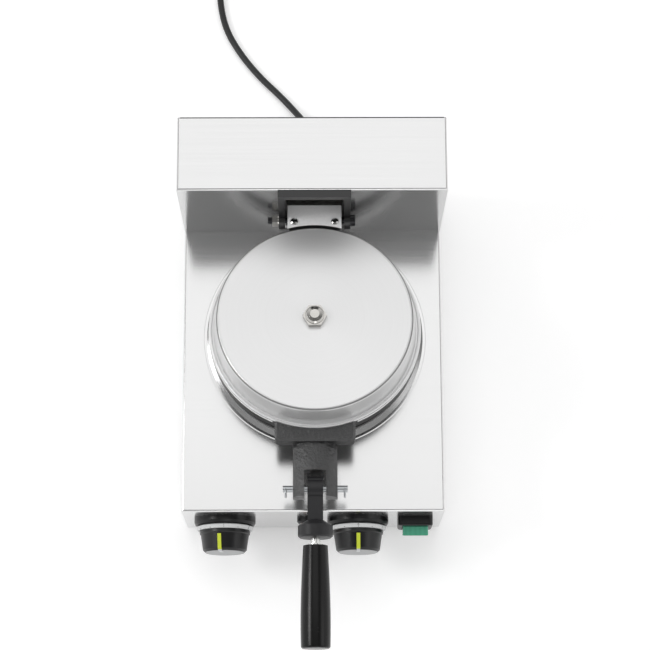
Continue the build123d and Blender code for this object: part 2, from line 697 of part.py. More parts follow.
def make_control(name, x, lean):
    """A bezel, a dial, a knob with its pointer and shaft, and the works behind the panel."""
    place = Pos(x, 0, knob_z)
    hole = rod_y(shaft_radius + shaft_hole_gap, -2 * bezel_radius, 2 * bezel_radius, 0, 0)
    bezel = turned_y([
        (0, 0), (bezel_radius, 0), (bezel_radius, -bezel_depth + 3.5),
        (bezel_radius - 1.2, -bezel_depth + 1.2), (bezel_radius - 3.5, -bezel_depth), (0, -bezel_depth)])
    built[name + "_bezel"] = place * (bezel - hole)
    dial_front = -bezel_depth - dial_depth
    dial = turned_y([
        (0, -bezel_depth), (bezel_radius - 3.5, -bezel_depth), (dial_radius, -bezel_depth - 0.8),
        (dial_radius - 1.6, dial_front), (0, dial_front)])
    built[name + "_dial"] = place * (dial - hole)
    start = dial_front - knob_gap
    end = start - knob_length
    knob = turned_y([
        (0, start), (knob_base_radius, start), (knob_base_radius, start - knob_skirt + 1),
        (knob_base_radius - 1.0, start - knob_skirt), (knob_front_radius, end + 2.0),
        (knob_front_radius - 2.0, end), (0, end)])
    knob -= rod_y(shaft_radius, start - shaft_bore_depth, start + 1, 0, 0)
    y0 = start - pointer_start
    slope = (knob_base_radius - 1.0 - knob_front_radius) / (knob_length - 2.0 - knob_skirt)
    r0 = knob_base_radius - 1.0 - slope * (pointer_start - knob_skirt)
    r1 = knob_front_radius
    lift = pointer_height
    pointer = side_plate([
        (y0, r0 - 1.5), (y0, r0 + lift), (end + 1.6, r1 + lift), (end - lift, r1 - 1.8),
        (end - lift, r1 - pointer_drop), (end + 1.5, r1 - pointer_drop), (end + 1.5, r1 - 3.5),
        (end + 3.0, r1 - 2.0)], -pointer_width / 2, pointer_width / 2)
    pose = place * Rot(0, -lean, 0)
    built[name + "_knob"] = pose * (knob - pointer)
    built[name + "_pointer"] = pose * pointer
    built[name + "_shaft"] = place * rod_y(shaft_radius, start - shaft_bore_depth,
                                           sheet + shaft_depth_inside, 0, 0)
    works = block(-gearbox_width / 2, gearbox_width / 2, sheet, sheet + gearbox_depth,
                  -gearbox_height / 2, gearbox_height / 2)
    works = fillet(works.edges().filter_by(Axis.Y), 4.0)
    works -= rod_y(shaft_radius + running_clearance, 0, sheet + shaft_depth_inside + 0.5, 0, 0)
    built[name + "_body"] = place * works


def make_switch():
    """The power switch with its rocker, and the pilot lamp."""
    place = Pos(switch_x, 0, switch_z)
    frame = block(-switch_width / 2, switch_width / 2, -switch_depth, 0, -switch_height / 2, switch_height / 2)
    frame = fillet(frame.edges().filter_by(Axis.Y), 4.0)
    frame = fillet(frame.edges().group_by(Axis.Y)[0], 2.0)
    side = rocker_width / 2 + rocker_gap
    high = rocker_height / 2 + rocker_swing
    frame -= block(-side, side, -switch_depth - 1, 1, -high, high)
    pin_end = rocker_width / 2 + 2.0
    pivot_y = -rocker_pivot - rocker_pin_radius
    frame -= rod_x(rocker_pin_radius + running_clearance, -pin_end - 0.3, pin_end + 0.3, pivot_y, 0)
    built["switch_housing"] = place * frame

    top = rocker_height / 2
    front = -rocker_front - pivot_y
    flank = [(0.6, 3.0), (-2.2, top - 3.0), (-5.5, top), (front, top - 0.6)]
    outline = flank + [(front + 1.0, 0)] + [(y, -z) for y, z in reversed(flank)]
    rocker = side_plate(outline, -rocker_width / 2, rocker_width / 2)
    rocker += rod_x(rocker_pin_radius, -pin_end, pin_end, 0, 0)
    built["power_rocker"] = place * Pos(0, pivot_y, 0) * Rot(rocker_tilt, 0, 0) * rocker
    built["switch_body"] = place * block(-rocker_width / 2, rocker_width / 2, 0, switch_body_depth, -top, top)

    place = Pos(lamp_x, 0, lamp_z)
    bezel = turned_y([
        (lens_radius, 0), (lamp_radius, 0), (lamp_radius, -lamp_depth + 2),
        (lamp_radius - 1.6, -lamp_depth), (lens_radius, -lamp_depth)])
    built["lamp_bezel"] = place * bezel
    tip = -lamp_depth - lens_height
    built["pilot_lamp"] = place * turned_y([
        (0, lamp_body_depth), (lens_radius, lamp_body_depth), (lens_radius, -lamp_depth),
        (lens_radius * 0.92, tip + lens_height * 0.55), (lens_radius * 0.62, tip + lens_height * 0.12), (0, tip)])


def make_terminals():
    """The terminal block on the bottom plate, next to the gland."""
    z = foot_height + sheet
    y = body_depth - terminal_setback
    left = gland_x - terminal_width / 2
    terminal = block(left, left + terminal_width, y - terminal_depth, y, z, z + terminal_height)
    for i in range(3):
        x = left + terminal_width * (i + 0.5) / 3
        terminal -= rod_z(3.0, z + terminal_height - 5, z + terminal_height + 1, x, y - terminal_depth / 2)
    built["terminal_block"] = terminal


def arc_end(start, end, tangent):
    """The direction in which an arc arrives that leaves start along tangent."""
    chord = (end - start).normalized()
    return chord * (2 * chord.dot(tangent)) - tangent


def biarc(p, t, q, u):
    """Two tangent arcs from p along t to q along u."""
    v = q - p
    s = t + u
    k = 2 * (1 - t.dot(u))
    vs = v.dot(s)
    d = (sqrt(vs * vs + k * v.dot(v)) - vs) / k
    middle = (p + q + (t - u) * d) * 0.5
    return [TangentArc(p, middle, tangent=t), TangentArc(middle, q, tangent=arc_end(p, middle, t))]


def coil_place(turn, centre):
    """A point of the coil and its direction: inwards on the table, then outwards one layer up."""
    climb = 0.5
    radius = coil_inner_radius + coil_pitch * max(coil_turns_in - turn, turn - coil_turns_in - climb, 0)
    share = min(1, max(0, (turn - coil_turns_in) / climb))
    angle = pi - 2 * pi * turn
    point = centre + Vector(radius * cos(angle), radius * sin(angle), coil_layer * share)
    return point, Vector(sin(angle), -cos(angle), 0)


def make_lead():
    """The gland, the free cord, the coil of its spare length, and the plug."""
    nut = turned_y([
        (0, -sheet), (gland_radius, -sheet), (gland_radius, 0), (gland_radius + gland_flange, 0),
        (gland_radius + gland_flange, gland_nut), (gland_radius - 1, gland_nut + 1.5),
        (gland_tip_radius, gland_length), (0, gland_length)])
    built["cord_gland"] = Pos(gland_x, body_depth, gland_z) * nut

    points = [Vector(*p) for p in cord_route]
    radii = []
    for a, b, c in zip(points, points[1:], points[2:]):
        turn = radians((b - a).get_angle(c - b))
        radii.append(0.45 * min((b - a).length, (c - b).length) / tan(turn / 2))
    print("cord radii", [round(r) for r in radii])
    path = FilletPolyline(*points, radius=radii)
    section = Plane(origin=points[0], z_dir=points[1] - points[0]) * Circle(cord_radius)
    tube = sweep(section, path=path)
    area = pi * cord_radius ** 2
    print("lead length", round(path.length, 1), "volume ratio", round(tube.volume / area / path.length, 4))
    built["cord_lead"] = tube

    begin = points[-1]
    along = Vector(0, 1, 0)
    first = begin + along * cord_diameter
    centre = first + Vector(coil_inner_radius + coil_pitch * coil_turns_in, 0, 0)
    turns = coil_turns_in + 0.5 + coil_turns_out
    steps = round(turns * 2)
    edges = [Line(begin, first)]
    for i in range(steps):
        p, t = coil_place(i / 2, centre)
        q, u = coil_place((i + 1) / 2, centre)
        edges += biarc(p, t, q, u)
    last, direction = coil_place(turns, centre)
    end = last + direction * coil_tail
    edges.append(Line(last, end))
    coil_path = Wire(edges)
    coil = sweep(Plane(origin=begin, z_dir=along) * Circle(cord_radius), path=coil_path)
    print("coil length", round(coil_path.length, 1), "volume ratio",
          round(coil.volume / area / coil_path.length, 4), "least gap", round(coil_gap(coil_path), 2))
    built["cord_coil"] = coil

    y = end.Y
    x, z = end.X, end.Z
    nose = Pos(x, y, z) * turned_y([
        (0, 0), (plug_nose_radius, 0), (plug_nose_radius + 2.6, plug_nose), (0, plug_nose + 1)])
    half = plug_width / 2
    body = block(x - half, x + half, y + plug_nose, y + plug_nose + plug_body, 0, plug_height)
    body = fillet(body.edges().filter_by(Axis.Y), 4.0)
    body = chamfer(body.edges().group_by(Axis.Y)[0], 2.0)
    face = y + plug_nose + plug_body
    blade_z = plug_height - 7.0
    pins = rod_y(earth_radius, face - 1, face + earth_length, x, blade_z - earth_offset)
    for side in (-1, 1):
        bx = x + side * blade_spacing / 2
        pins += block(bx - blade_sheet / 2, bx + blade_sheet / 2, face - 1, face + blade_length,
                      blade_z - blade_width / 2, blade_z + blade_width / 2)
    built["plug"] = nose + body + pins


def coil_gap(path):
    """The least distance between two turns of the coil, less the cord's diameter."""
    count = 900
    step = path.length / count
    points = [path.position_at(i / count) for i in range(count + 1)]
    apart = int(4 * cord_diameter / step)
    least = 1e9
    for i, p in enumerate(points):
        for q in points[i + apart:]:
            least = min(least, (p.X - q.X) ** 2 + (p.Y - q.Y) ** 2 + (p.Z - q.Z) ** 2)
    return sqrt(least) - cord_diameter


def export_all():
    """Swings the lid to its rest position, centres the object and writes the pieces."""
    lid = ["upper_mould", "upper_element", "lid_cap", "cap_stud", "cap_nut", "insulation_pad",
           "wire_cover", "cover_rivets", "latch_pin", "pin_clips"]
    lever = ["latch_lever", "handle_stud", "handle_grip"]
    swing = Pos(0, hinge_y, hinge_z) * Rot(-lid_ajar, 0, 0) * Pos(0, -hinge_y, -hinge_z)
    pin = Vector(0, latch_pin_y - hinge_y, latch_pin_z - hinge_z)
    moved = pin.rotate(Axis.X, -lid_ajar)
    for name in lid:
        built[name] = swing * built[name]
    for name in lever:
        built[name] = Pos(0, moved.Y - pin.Y, moved.Z - pin.Z) * built[name]
    boxes = [solid.bounding_box() for name, solid in built.items() if name not in
             ("cord_gland", "cord_lead", "cord_coil", "plug")]
    front = min(box.min.Y for box in boxes)
    rear = max(box.max.Y for box in boxes)
    centre = (front + rear) / 2
    print("front", round(front, 3), "rear", round(rear, 3), "origin behind the front panel", round(centre, 4))
    print("hinge at", round(hinge_y - centre, 4), round(hinge_z, 4))
    print("latch pin at", round(moved.Y + hinge_y - centre, 4), round(moved.Z + hinge_z, 4))
    print("mould axis at", head_x, round(mould_y - centre, 4))
    os.makedirs("parts", exist_ok=True)
    for name, solid in built.items():
        export_step(Pos(0, -centre, 0) * solid, "parts/" + name + ".step")


make_housing()
make_feet()
make_lower_mould()
make_upper_mould()
make_lid_parts()
make_lever()
make_bracket()
make_control("timer", timer_x, timer_lean)
make_control("thermostat", thermostat_x, 0.0)
make_switch()
make_terminals()
make_lead()
export_all()
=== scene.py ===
"""A countertop burger press with a hinged lid, dressed for its photograph.

The CAD frame gives every hard piece its shape and its place. This script gives them their finishes
and adds what CAD leaves out: the smooth mains cord with its ribbed boot, the printed scales and
their numbers, the knobs' inlaid faces, the dished rocker cap with its marks, the screws and the
louvre baffle of the back panel, and a dark bead of painted shade along the tower's rear edge.
Lengths are in millimetres in the classes, measured from the front panel's outer face and the
table, and become metres when a mesh is made.
"""

from __future__ import annotations

import logging
import math
from dataclasses import dataclass
from enum import Enum
from typing import Any, Callable, Sequence

import bmesh
import bpy
from mathutils import Matrix, Vector

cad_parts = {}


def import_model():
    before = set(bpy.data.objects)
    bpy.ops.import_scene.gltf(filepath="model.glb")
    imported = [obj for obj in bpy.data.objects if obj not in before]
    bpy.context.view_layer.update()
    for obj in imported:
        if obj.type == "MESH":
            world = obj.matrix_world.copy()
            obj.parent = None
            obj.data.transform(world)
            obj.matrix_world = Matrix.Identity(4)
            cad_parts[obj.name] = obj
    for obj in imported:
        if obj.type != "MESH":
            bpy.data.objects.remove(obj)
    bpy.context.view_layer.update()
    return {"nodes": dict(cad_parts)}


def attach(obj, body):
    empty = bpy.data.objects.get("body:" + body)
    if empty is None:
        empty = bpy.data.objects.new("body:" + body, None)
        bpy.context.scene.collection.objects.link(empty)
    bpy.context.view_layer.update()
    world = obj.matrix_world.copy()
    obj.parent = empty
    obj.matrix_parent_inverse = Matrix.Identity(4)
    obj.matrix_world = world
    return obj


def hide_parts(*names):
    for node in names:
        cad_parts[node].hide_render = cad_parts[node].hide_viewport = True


log = logging.getLogger("burger_press")

MM = 0.001
PANEL_Y = -102.6166
SHARP_EDGE = math.radians(32)
WHITE = (1.0, 1.0, 1.0, 1.0)
Pair = tuple[float, float]
Point = tuple[float, float, float]
Node = bpy.types.Node
Socket = bpy.types.NodeSocket
Tree = bpy.types.NodeTree


class Body(Enum):
    """The bodies of the frame that new pieces ride on."""

    BASE = "base"
    TIMER = "timer"
    THERMOSTAT = "thermostat"
    ROCKER = "rocker"


class Seat(Enum):
    """Where a rocker's mark stands on its face."""

    HIGH = 1.0
    LOW = -1.0


def at(x: float, y: float, z: float) -> Vector:
    """Turns millimetres right of the middle, behind the front panel and above the table into metres."""
    return Vector((x * MM, (y + PANEL_Y) * MM, z * MM))


def linear(code: str) -> tuple[float, float, float, float]:
    """Turns an sRGB hex value into a linear colour.

    Args:
        code: Six hex digits after a hash sign.

    Returns:
        Red, green, blue and an alpha of 1.
    """
    parts = [int(code[i:i + 2], 16) / 255 for i in (1, 3, 5)]
    red, green, blue = [p / 12.92 if p <= 0.04045 else ((p + 0.055) / 1.055) ** 2.4 for p in parts]
    return red, green, blue, 1.0


def feed(node: Node, **inputs: Any) -> None:
    """Sets or links a node's inputs.

    Args:
        node: The node.
        **inputs: Values or output sockets, by the input's name with _ for a space, or by i0, i1 and
            so on for an input by its place.
    """
    for name, value in inputs.items():
        by_place = name[0] == "i" and name[1:].isdigit()
        socket = node.inputs[int(name[1:])] if by_place else node.inputs[name.replace("_", " ")]
        if isinstance(value, Socket):
            node.id_data.links.new(value, socket)
        else:
            socket.default_value = value


def add(tree: Tree, kind: str, settings: dict[str, Any] | None = None, **inputs: Any) -> Node:
    """Adds one node.

    Args:
        tree: The tree that it goes into.
        kind: The node's Blender type.
        settings: Values of the node's own properties.
        **inputs: What feed gives its inputs.

    Returns:
        The new node.
    """
    node = tree.nodes.new(kind)
    for name, value in (settings or {}).items():
        setattr(node, name, value)
    feed(node, **inputs)
    return node


def reckon(tree: Tree, operation: str, *values: Any) -> Socket:
    """Adds a node that works out numbers or sockets, and gives its result."""
    inputs = {f"i{i}": value for i, value in enumerate(values)}
    return add(tree, "ShaderNodeMath", {"operation": operation}, **inputs).outputs["Value"]


def put(name: str, data: bpy.types.ID) -> bpy.types.Object:
    """Puts an object into the scene.

    Args:
        name: Its name.
        data: Its mesh, curve, lamp or camera.

    Returns:
        The object.
    """
    piece = bpy.data.objects.new(name, data)
    bpy.context.scene.collection.objects.link(piece)
    return piece


# Finishes


@dataclass
class Surface:
    """A material while it is being built.

    Attributes:
        tree: Its nodes.
        shader: Its Principled BSDF.
    """

    tree: Tree
    shader: Node

    def place(self) -> Socket:
        """The place on the piece, in metres."""
        return add(self.tree, "ShaderNodeTexCoord").outputs["Object"]

    def noise(self, scale: float, detail: float, **more: Any) -> Socket:
        """A cloudy pattern from 0 to 1, with a scale in grains for each metre."""
        inputs = {"Vector": self.place(), "Scale": scale, "Detail": detail, **more}
        return add(self.tree, "ShaderNodeTexNoise", **inputs).outputs["Fac"]

    def mix(self, share: float, low: Socket, high: Socket) -> Socket:
        """A pattern between two others."""
        return add(self.tree, "ShaderNodeMix", {"data_type": "FLOAT"}, Factor=share, i2=low,
                   i3=high).outputs[0]

    def tint(self, share: Socket, low: Any, high: Any) -> None:
        """Colours the surface from one colour to another as the share goes from 0 to 1."""
        mixed = add(self.tree, "ShaderNodeMix", {"data_type": "RGBA"}, Factor=share, i6=low, i7=high)
        feed(self.shader, Base_Color=mixed.outputs[2])

    def paint(self, share: Socket, code: str) -> None:
        """Lays an sRGB colour over the present one where the share is 1."""
        self.tint(share, self.shader.inputs["Base Color"].links[0].from_socket, linear(code))

    def bumps(self, pattern: Socket, height: float, strength: float) -> None:
        """Raises the surface by a pattern.

        Args:
            pattern: The pattern, from 0 to 1.
            height: The pattern's height in millimetres.
            strength: How far the pattern is felt, from 0 to 1.
        """
        bump = add(self.tree, "ShaderNodeBump", Strength=strength, Distance=height * MM, Height=pattern)
        feed(self.shader, Normal=bump.outputs["Normal"])

    def vector_node(self, operation: str, *values: Any) -> Node:
        """Adds a node that works out vectors or sockets."""
        inputs = {f"i{i}": value for i, value in enumerate(values)}
        return add(self.tree, "ShaderNodeVectorMath", {"operation": operation}, **inputs)

    def sheen_along(self, way: Any, stretch: float) -> None:
        """Draws the gloss out across the scratches.

        Args:
            way: The scratches' way on the piece, as a vector or a socket.
            stretch: How far the gloss is drawn out.
        """
        world = add(self.tree, "ShaderNodeVectorTransform",
                    {"vector_type": "VECTOR", "convert_from": "OBJECT", "convert_to": "WORLD"}, Vector=way)
        unit = self.vector_node("NORMALIZE", world.outputs["Vector"])
        feed(self.shader, Anisotropic=stretch, Tangent=unit.outputs["Vector"])

    def round_axis(self, centre: Point, tilt: float) -> tuple[Socket, Socket, Socket]:
        """Measures the surface from an axis.

        Args:
            centre: A point of the axis, in metres.
            tilt: The axis's lean about X, in degrees.

        Returns:
            The distance from the axis, the share of it along X, and the height along the axis.
        """
        lean = -math.radians(tilt)
        inward = Matrix.Rotation(lean, 3, "X") @ -Vector(centre)
        level = add(self.tree, "ShaderNodeMapping", Vector=self.place(), Location=tuple(inward),
                    Rotation=(lean, 0.0, 0.0)).outputs["Vector"]
        flat = self.vector_node("MULTIPLY", level, (1.0, 1.0, 0.0))
        reach = self.vector_node("LENGTH", flat.outputs["Vector"])
        parts = add(self.tree, "ShaderNodeSeparateXYZ", Vector=level)
        return reach.outputs["Value"], parts.outputs["X"], parts.outputs["Z"]

    def beyond(self, operation: str, depth: float) -> Socket:
        """Tells where the surface is on one side of a depth in the frame, in metres along Y."""
        where = add(self.tree, "ShaderNodeSeparateXYZ", Vector=self.place())
        return reckon(self.tree, operation, where.outputs["Y"], depth)


@dataclass(frozen=True)
class Finish:
    """A surface as its maker left it.

    Attributes:
        name: What the surface is.
        colour: Its sRGB colour.
        roughness: How far it scatters a reflection.
    """

    name: str
    colour: str
    roughness: float

    def material(self) -> bpy.types.Material:
        """Gives the finish's material, which is built once.

        Returns:
            The material.
        """
        found = bpy.data.materials.get(self.name)
        if found:
            return found
        made = bpy.data.materials.new(self.name)
        made.use_nodes = True
        surface = Surface(made.node_tree, made.node_tree.nodes["Principled BSDF"])
        feed(surface.shader, Base_Color=linear(self.colour), Roughness=self.roughness)
        self.work(surface)
        made.diffuse_color = linear(self.colour)
        return made

    def work(self, surface: Surface) -> None:
        """Adds the surface's own pattern.

        Args:
            surface: The material.
        """
        raise NotImplementedError

    def shades(self, surface: Surface, pattern: Socket, depth: float, spread: float) -> None:
        """Lets a pattern vary the colour and the roughness a little.

        Args:
            surface: The material.
            pattern: The pattern, from 0 to 1.
            depth: How much darker the colour gets, as a share.
            spread: How far the roughness goes to each side.
        """
        red, green, blue, alpha = linear(self.colour)
        dark = (red * (1 - depth), green * (1 - depth), blue * (1 - depth), alpha)
        surface.tint(pattern, dark, (red, green, blue, alpha))
        rough = add(surface.tree, "ShaderNodeMapRange", i0=pattern, i3=self.roughness - spread,
                    i4=self.roughness + spread)
        feed(surface.shader, Roughness=rough.outputs["Result"])


@dataclass(frozen=True)
class BrushedSteel(Finish):
    """Stainless sheet brushed along X: fine scratches one way, and a soft stretched gloss.

    Real scratches are about 0.1 mm apart, which is too fine to show, so they are drawn a
    millimetre apart.

    Attributes:
        scratch: How deep the scratches look, from 0 to 1.
        stretch: How far the gloss is drawn out across them.
        metal: The share that reflects as bare metal; the rest is the whitish bloom of the scratches.
    """

    scratch: float = 0.06
    stretch: float = 0.45
    metal: float = 1.0

    def work(self, surface: Surface) -> None:
        """Draws the scratches, with wide faint clouds over them.

        Args:
            surface: The material.
        """
        feed(surface.shader, Metallic=self.metal, Anisotropic_Rotation=0.25)
        drawn = add(surface.tree, "ShaderNodeMapping", Vector=surface.place(), Scale=(6.0, 900.0, 900.0))
        scratches = surface.noise(1.0, 3.0, Vector=drawn.outputs["Vector"], Roughness=0.6)
        clouds = surface.noise(9.0, 2.0)
        self.shades(surface, surface.mix(0.3, scratches, clouds), depth=0.12, spread=0.05)
        surface.bumps(scratches, height=0.05, strength=self.scratch)
        surface.sheen_along((1.0, 0.0, 0.0), self.stretch)


@dataclass(frozen=True)
class SpunSteel(Finish):
    """Stainless steel turned on a lathe: rings round an axis, and a gloss in rays across them.

    Attributes:
        centre: A point of the axis, in metres.
        tilt: The axis's lean about X, in degrees.
        rings: Rings in each metre.
        stretch: How far the gloss is drawn out across the rings.
        contrast: How much darker the rings get, as a share.
        metal: The share that reflects as bare metal; the rest is the whitish bloom of fine rings.
        crease_shade: The radius of a thin dark line of painted shade along the spun edge's crease, in metres.
    """

    centre: Point = (0.0, 0.0, 0.0)
    tilt: float = 0.0
    rings: float = 900.0
    stretch: float = 0.75
    contrast: float = 0.05
    metal: float = 1.0
    crease_shade: float = 0.0

    def work(self, surface: Surface) -> None:
        """Draws the rings and a dark line of painted shade along the crease, and turns the gloss round the
        axis.

        Args:
            surface: The material.
        """
        feed(surface.shader, Metallic=self.metal)
        reach, _, height = surface.round_axis(self.centre, self.tilt)
        ring = add(surface.tree, "ShaderNodeCombineXYZ", X=reach, Z=height)
        rings = surface.noise(self.rings, 2.0, Vector=ring.outputs["Vector"])
        self.shades(surface, rings, depth=self.contrast, spread=0.02)
        surface.bumps(rings, height=0.02, strength=0.03)
        # The thin dark line at the crease radius is painted shade, where the spun edge turns away from the
        # light.
        if self.crease_shade:
            away = reckon(surface.tree, "ABSOLUTE", reckon(surface.tree, "SUBTRACT", reach, self.crease_shade))
            line = add(surface.tree, "ShaderNodeMapRange", i0=away, i1=0.2 * MM, i2=0.9 * MM, i3=1.0, i4=0.0)
            surface.paint(line.outputs["Result"], "#6E6E6E")
        lean = math.radians(self.tilt)
        outward = surface.vector_node("SUBTRACT", surface.place(), self.centre)
        along = surface.vector_node("CROSS_PRODUCT", (0.0, -math.sin(lean), math.cos(lean)),
                                    outward.outputs["Vector"])
        surface.sheen_along(along.outputs["Vector"], self.stretch)


@dataclass(frozen=True)
class PlatedMetal(Finish):
    """Small turned, drawn or plated metal parts: an even gloss with faint handling marks.

    Attributes:
        grit: Marks in each metre.
        metal: The share that reflects as bare metal; the rest is a whitish diffuse skin.
    """

    grit: float = 500.0
    metal: float = 1.0

    def work(self, surface: Surface) -> None:
        """Dulls the gloss in small clouds.

        Args:
            surface: The material.
        """
        feed(surface.shader, Metallic=self.metal)
        marks = surface.noise(self.grit, 3.0)
        self.shades(surface, marks, depth=0.15, spread=0.05)
        surface.bumps(marks, height=0.02, strength=0.05)


@dataclass(frozen=True)
class CoatedCasting(Finish):
    """Sand-cast metal under a dark baked coating: a grainy skin with a soft broken gloss.

    Attributes:
        grit: Sand grains in each metre.
        height: Their height in millimetres.
        gloss: The strength of the coating's reflection.
        relief: How far the grains are felt, from 0 to 1.
    """

    grit: float = 650.0
    height: float = 0.35
    gloss: float = 0.5
    relief: float = 0.45

    def work(self, surface: Surface) -> None:
        """Builds the sand's grain and the wider dips of the mould.

        Args:
            surface: The material.
        """
        feed(surface.shader, Specular_IOR_Level=self.gloss)
        sand = surface.noise(self.grit, 4.0, Roughness=0.6)
        dips = add(surface.tree, "ShaderNodeTexVoronoi", Vector=surface.place(), Scale=self.grit * 0.35)
        self.shades(surface, sand, depth=0.5, spread=0.08)
        surface.bumps(surface.mix(0.35, sand, dips.outputs["Distance"]), self.height, self.relief)


@dataclass(frozen=True)
class MachinedCasting(CoatedCasting):
    """A coated casting whose rim was turned bright after coating, in a narrow band.

    Attributes:
        centre: The rim's centre, in metres.
        tilt: The rim's lean about X, in degrees.
        radii: The band's inner and outer radius, in metres.
        heights: The band's lower and upper edge from the centre, in metres.
        skip: Half the width, in metres along X, that the band leaves out for a block on the rim.
        bare: The turned metal's sRGB colour.
    """

    centre: Point = (0.0, 0.0, 0.0)
    tilt: float = 0.0
    radii: Pair = (0.0966, 0.0972)
    heights: Pair = (0.0137, 0.0183)
    skip: float = 0.0
    bare: str = "#D9D9D9"

    def work(self, surface: Surface) -> None:
        """Bares the metal in the band.

        Args:
            surface: The material.
        """
        super().work(surface)
        reach, across, height = surface.round_axis(self.centre, self.tilt)
        band = reckon(surface.tree, "GREATER_THAN", reckon(surface.tree, "ABSOLUTE", across), self.skip)
        for value, (low, high) in ((reach, self.radii), (height, self.heights)):
            inside = reckon(surface.tree, "COMPARE", value, (low + high) / 2, (high - low) / 2)
            band = reckon(surface.tree, "MULTIPLY", band, inside)
        surface.paint(band, self.bare)
        feed(surface.shader, Metallic=band)


@dataclass(frozen=True)
class MouldedPlastic(Finish):
    """Injection-moulded plastic: an even colour with the tool's fine spark texture.

    Attributes:
        grit: Texture grains in each metre.
        height: Their height in millimetres.
        gloss: The strength of its reflection.
    """

    grit: float = 900.0
    height: float = 0.06
    gloss: float = 0.5

    def work(self, surface: Surface) -> None:
        """Roughens the surface with the tool's texture.

        Args:
            surface: The material.
        """
        feed(surface.shader, IOR=1.5, Specular_IOR_Level=self.gloss)
        spark = surface.noise(self.grit, 2.0)
        self.shades(surface, spark, depth=0.12, spread=0.03)
        surface.bumps(spark, self.height, strength=0.2)


@dataclass(frozen=True)
class PointerFinish(MouldedPlastic):
    """A moulded pointer: bright along the knob's side and foiled like the face at its front.

    Attributes:
        front_y: Where the front starts in the frame, in metres.
        foil: The front's sRGB colour.
    """

    front_y: float = 0.0
    foil: str = "#C9CACB"

    def work(self, surface: Surface) -> None:
        """Turns the surface silvery in front of the knob's face.

        Args:
            surface: The material.
        """
        super().work(surface)
        surface.paint(surface.beyond("LESS_THAN", self.front_y), self.foil)


@dataclass(frozen=True)
class TintedPlastic(Finish):
    """Clear coloured plastic over a small lamp: light enters it and comes back tinted.

    Attributes:
        clear: The share of light that passes, from 0 to 1.
        ribs: The scale of its moulded ribs.
    """

    clear: float = 0.35
    ribs: float = 70.0

    def work(self, surface: Surface) -> None:
        """Adds the moulded ribs and lets light through.

        Args:
            surface: The material.
        """
        feed(surface.shader, IOR=1.49, Transmission_Weight=self.clear, Coat_Weight=0.6, Coat_Roughness=0.05)
        ribs = add(surface.tree, "ShaderNodeTexWave", {"bands_direction": "X"}, Vector=surface.place(),
                   Scale=self.ribs, Distortion=0.3).outputs["Fac"]
        self.shades(surface, ribs, depth=0.1, spread=0.02)
        surface.bumps(ribs, height=0.08, strength=0.15)


@dataclass(frozen=True)
class Rubber(Finish):
    """Moulded rubber or soft PVC: dull, with a faint cloudy bloom.

    Attributes:
        sheen: The strength of the dusty edge light.
    """

    sheen: float = 0.1

    def work(self, surface: Surface) -> None:
        """Clouds the surface and gives it a fine grain.

        Args:
            surface: The material.
        """
        feed(surface.shader, IOR=1.5, Sheen_Weight=self.sheen)
        self.shades(surface, surface.noise(60.0, 4.0), depth=0.25, spread=0.06)
        surface.bumps(surface.noise(1200.0, 2.0), height=0.05, strength=0.2)


@dataclass(frozen=True)
class PlugFinish(Rubber):
    """A moulded plug: soft black PVC up to its face and brass blades beyond it.

    Attributes:
        face_y: Where the face stands in the frame, in metres.
        brass: The blades' sRGB colour.
    """

    face_y: float = 0.0
    brass: str = "#C9A65A"

    def work(self, surface: Surface) -> None:
        """Turns the surface to brass beyond the face.

        Args:
            surface: The material.
        """
        super().work(surface)
        blades = surface.beyond("GREATER_THAN", self.face_y)
        surface.paint(blades, self.brass)
        feed(surface.shader, Metallic=blades)


# The lid's hinge, the head's middle and the heights that finishes are measured from.
HINGE_Y = 258.5
HINGE_Z = 164.5
LID_AJAR = 8.0
HEAD_X = 2.0
MOULD_Y = 162.5
LID_RIM_Z = 137.0
DECK_Z = 105.5
KNOB_EDGE = 30.9
CAP_FOOT = 87.8


def lid_point(x: float, y: float, z: float) -> Vector:
    """Swings a place on the closed lid, given as for at, to where it is at rest, in metres."""
    hinge = at(0.0, HINGE_Y, HINGE_Z)
    return hinge + Matrix.Rotation(-math.radians(LID_AJAR), 3, "X") @ (at(x, y, z) - hinge)


LID_CENTRE = tuple(lid_point(HEAD_X, MOULD_Y, LID_RIM_Z))
HEAD_CENTRE = tuple(at(HEAD_X, MOULD_Y, DECK_Z))
KNOB_FRONT_Y = (PANEL_Y - KNOB_EDGE) * MM

# Stainless steel: bright sheets that mirror the room, a duller drum, and a lid with soft rays.
# The deck and the tower are one steel; the deck's lighter tone and the tower's darker tone are painted light
# and shade.
DECK_STEEL_LIT_COPY = BrushedSteel("brushed_deck_sheet", "#E4E4E4", 0.17, 0.012, 0.5, 0.93)
TOWER_STEEL_SHADED_COPY = BrushedSteel("brushed_tower_sheet", "#DFDFDF", 0.16, 0.012, 0.4, 0.96)
BACK_STEEL = BrushedSteel("brushed_back_sheet", "#CFCFCD", 0.3)
DRUM_STEEL = SpunSteel("spun_drum_steel", "#B2B2B2", 0.24, HEAD_CENTRE, 0.0, 700.0, 0.4)
RING_STEEL = SpunSteel("polished_trim_ring", "#E0E0E0", 0.18, HEAD_CENTRE, 0.0, 500.0, 0.3)
# The cap's dark line at its foot radius is painted shade in the crease.
CAP_STEEL = SpunSteel("spun_cap_steel", "#E2E2E2", 0.36, LID_CENTRE, -LID_AJAR, 900.0, 0.45, 0.04, 0.6,
                      CAP_FOOT * MM)
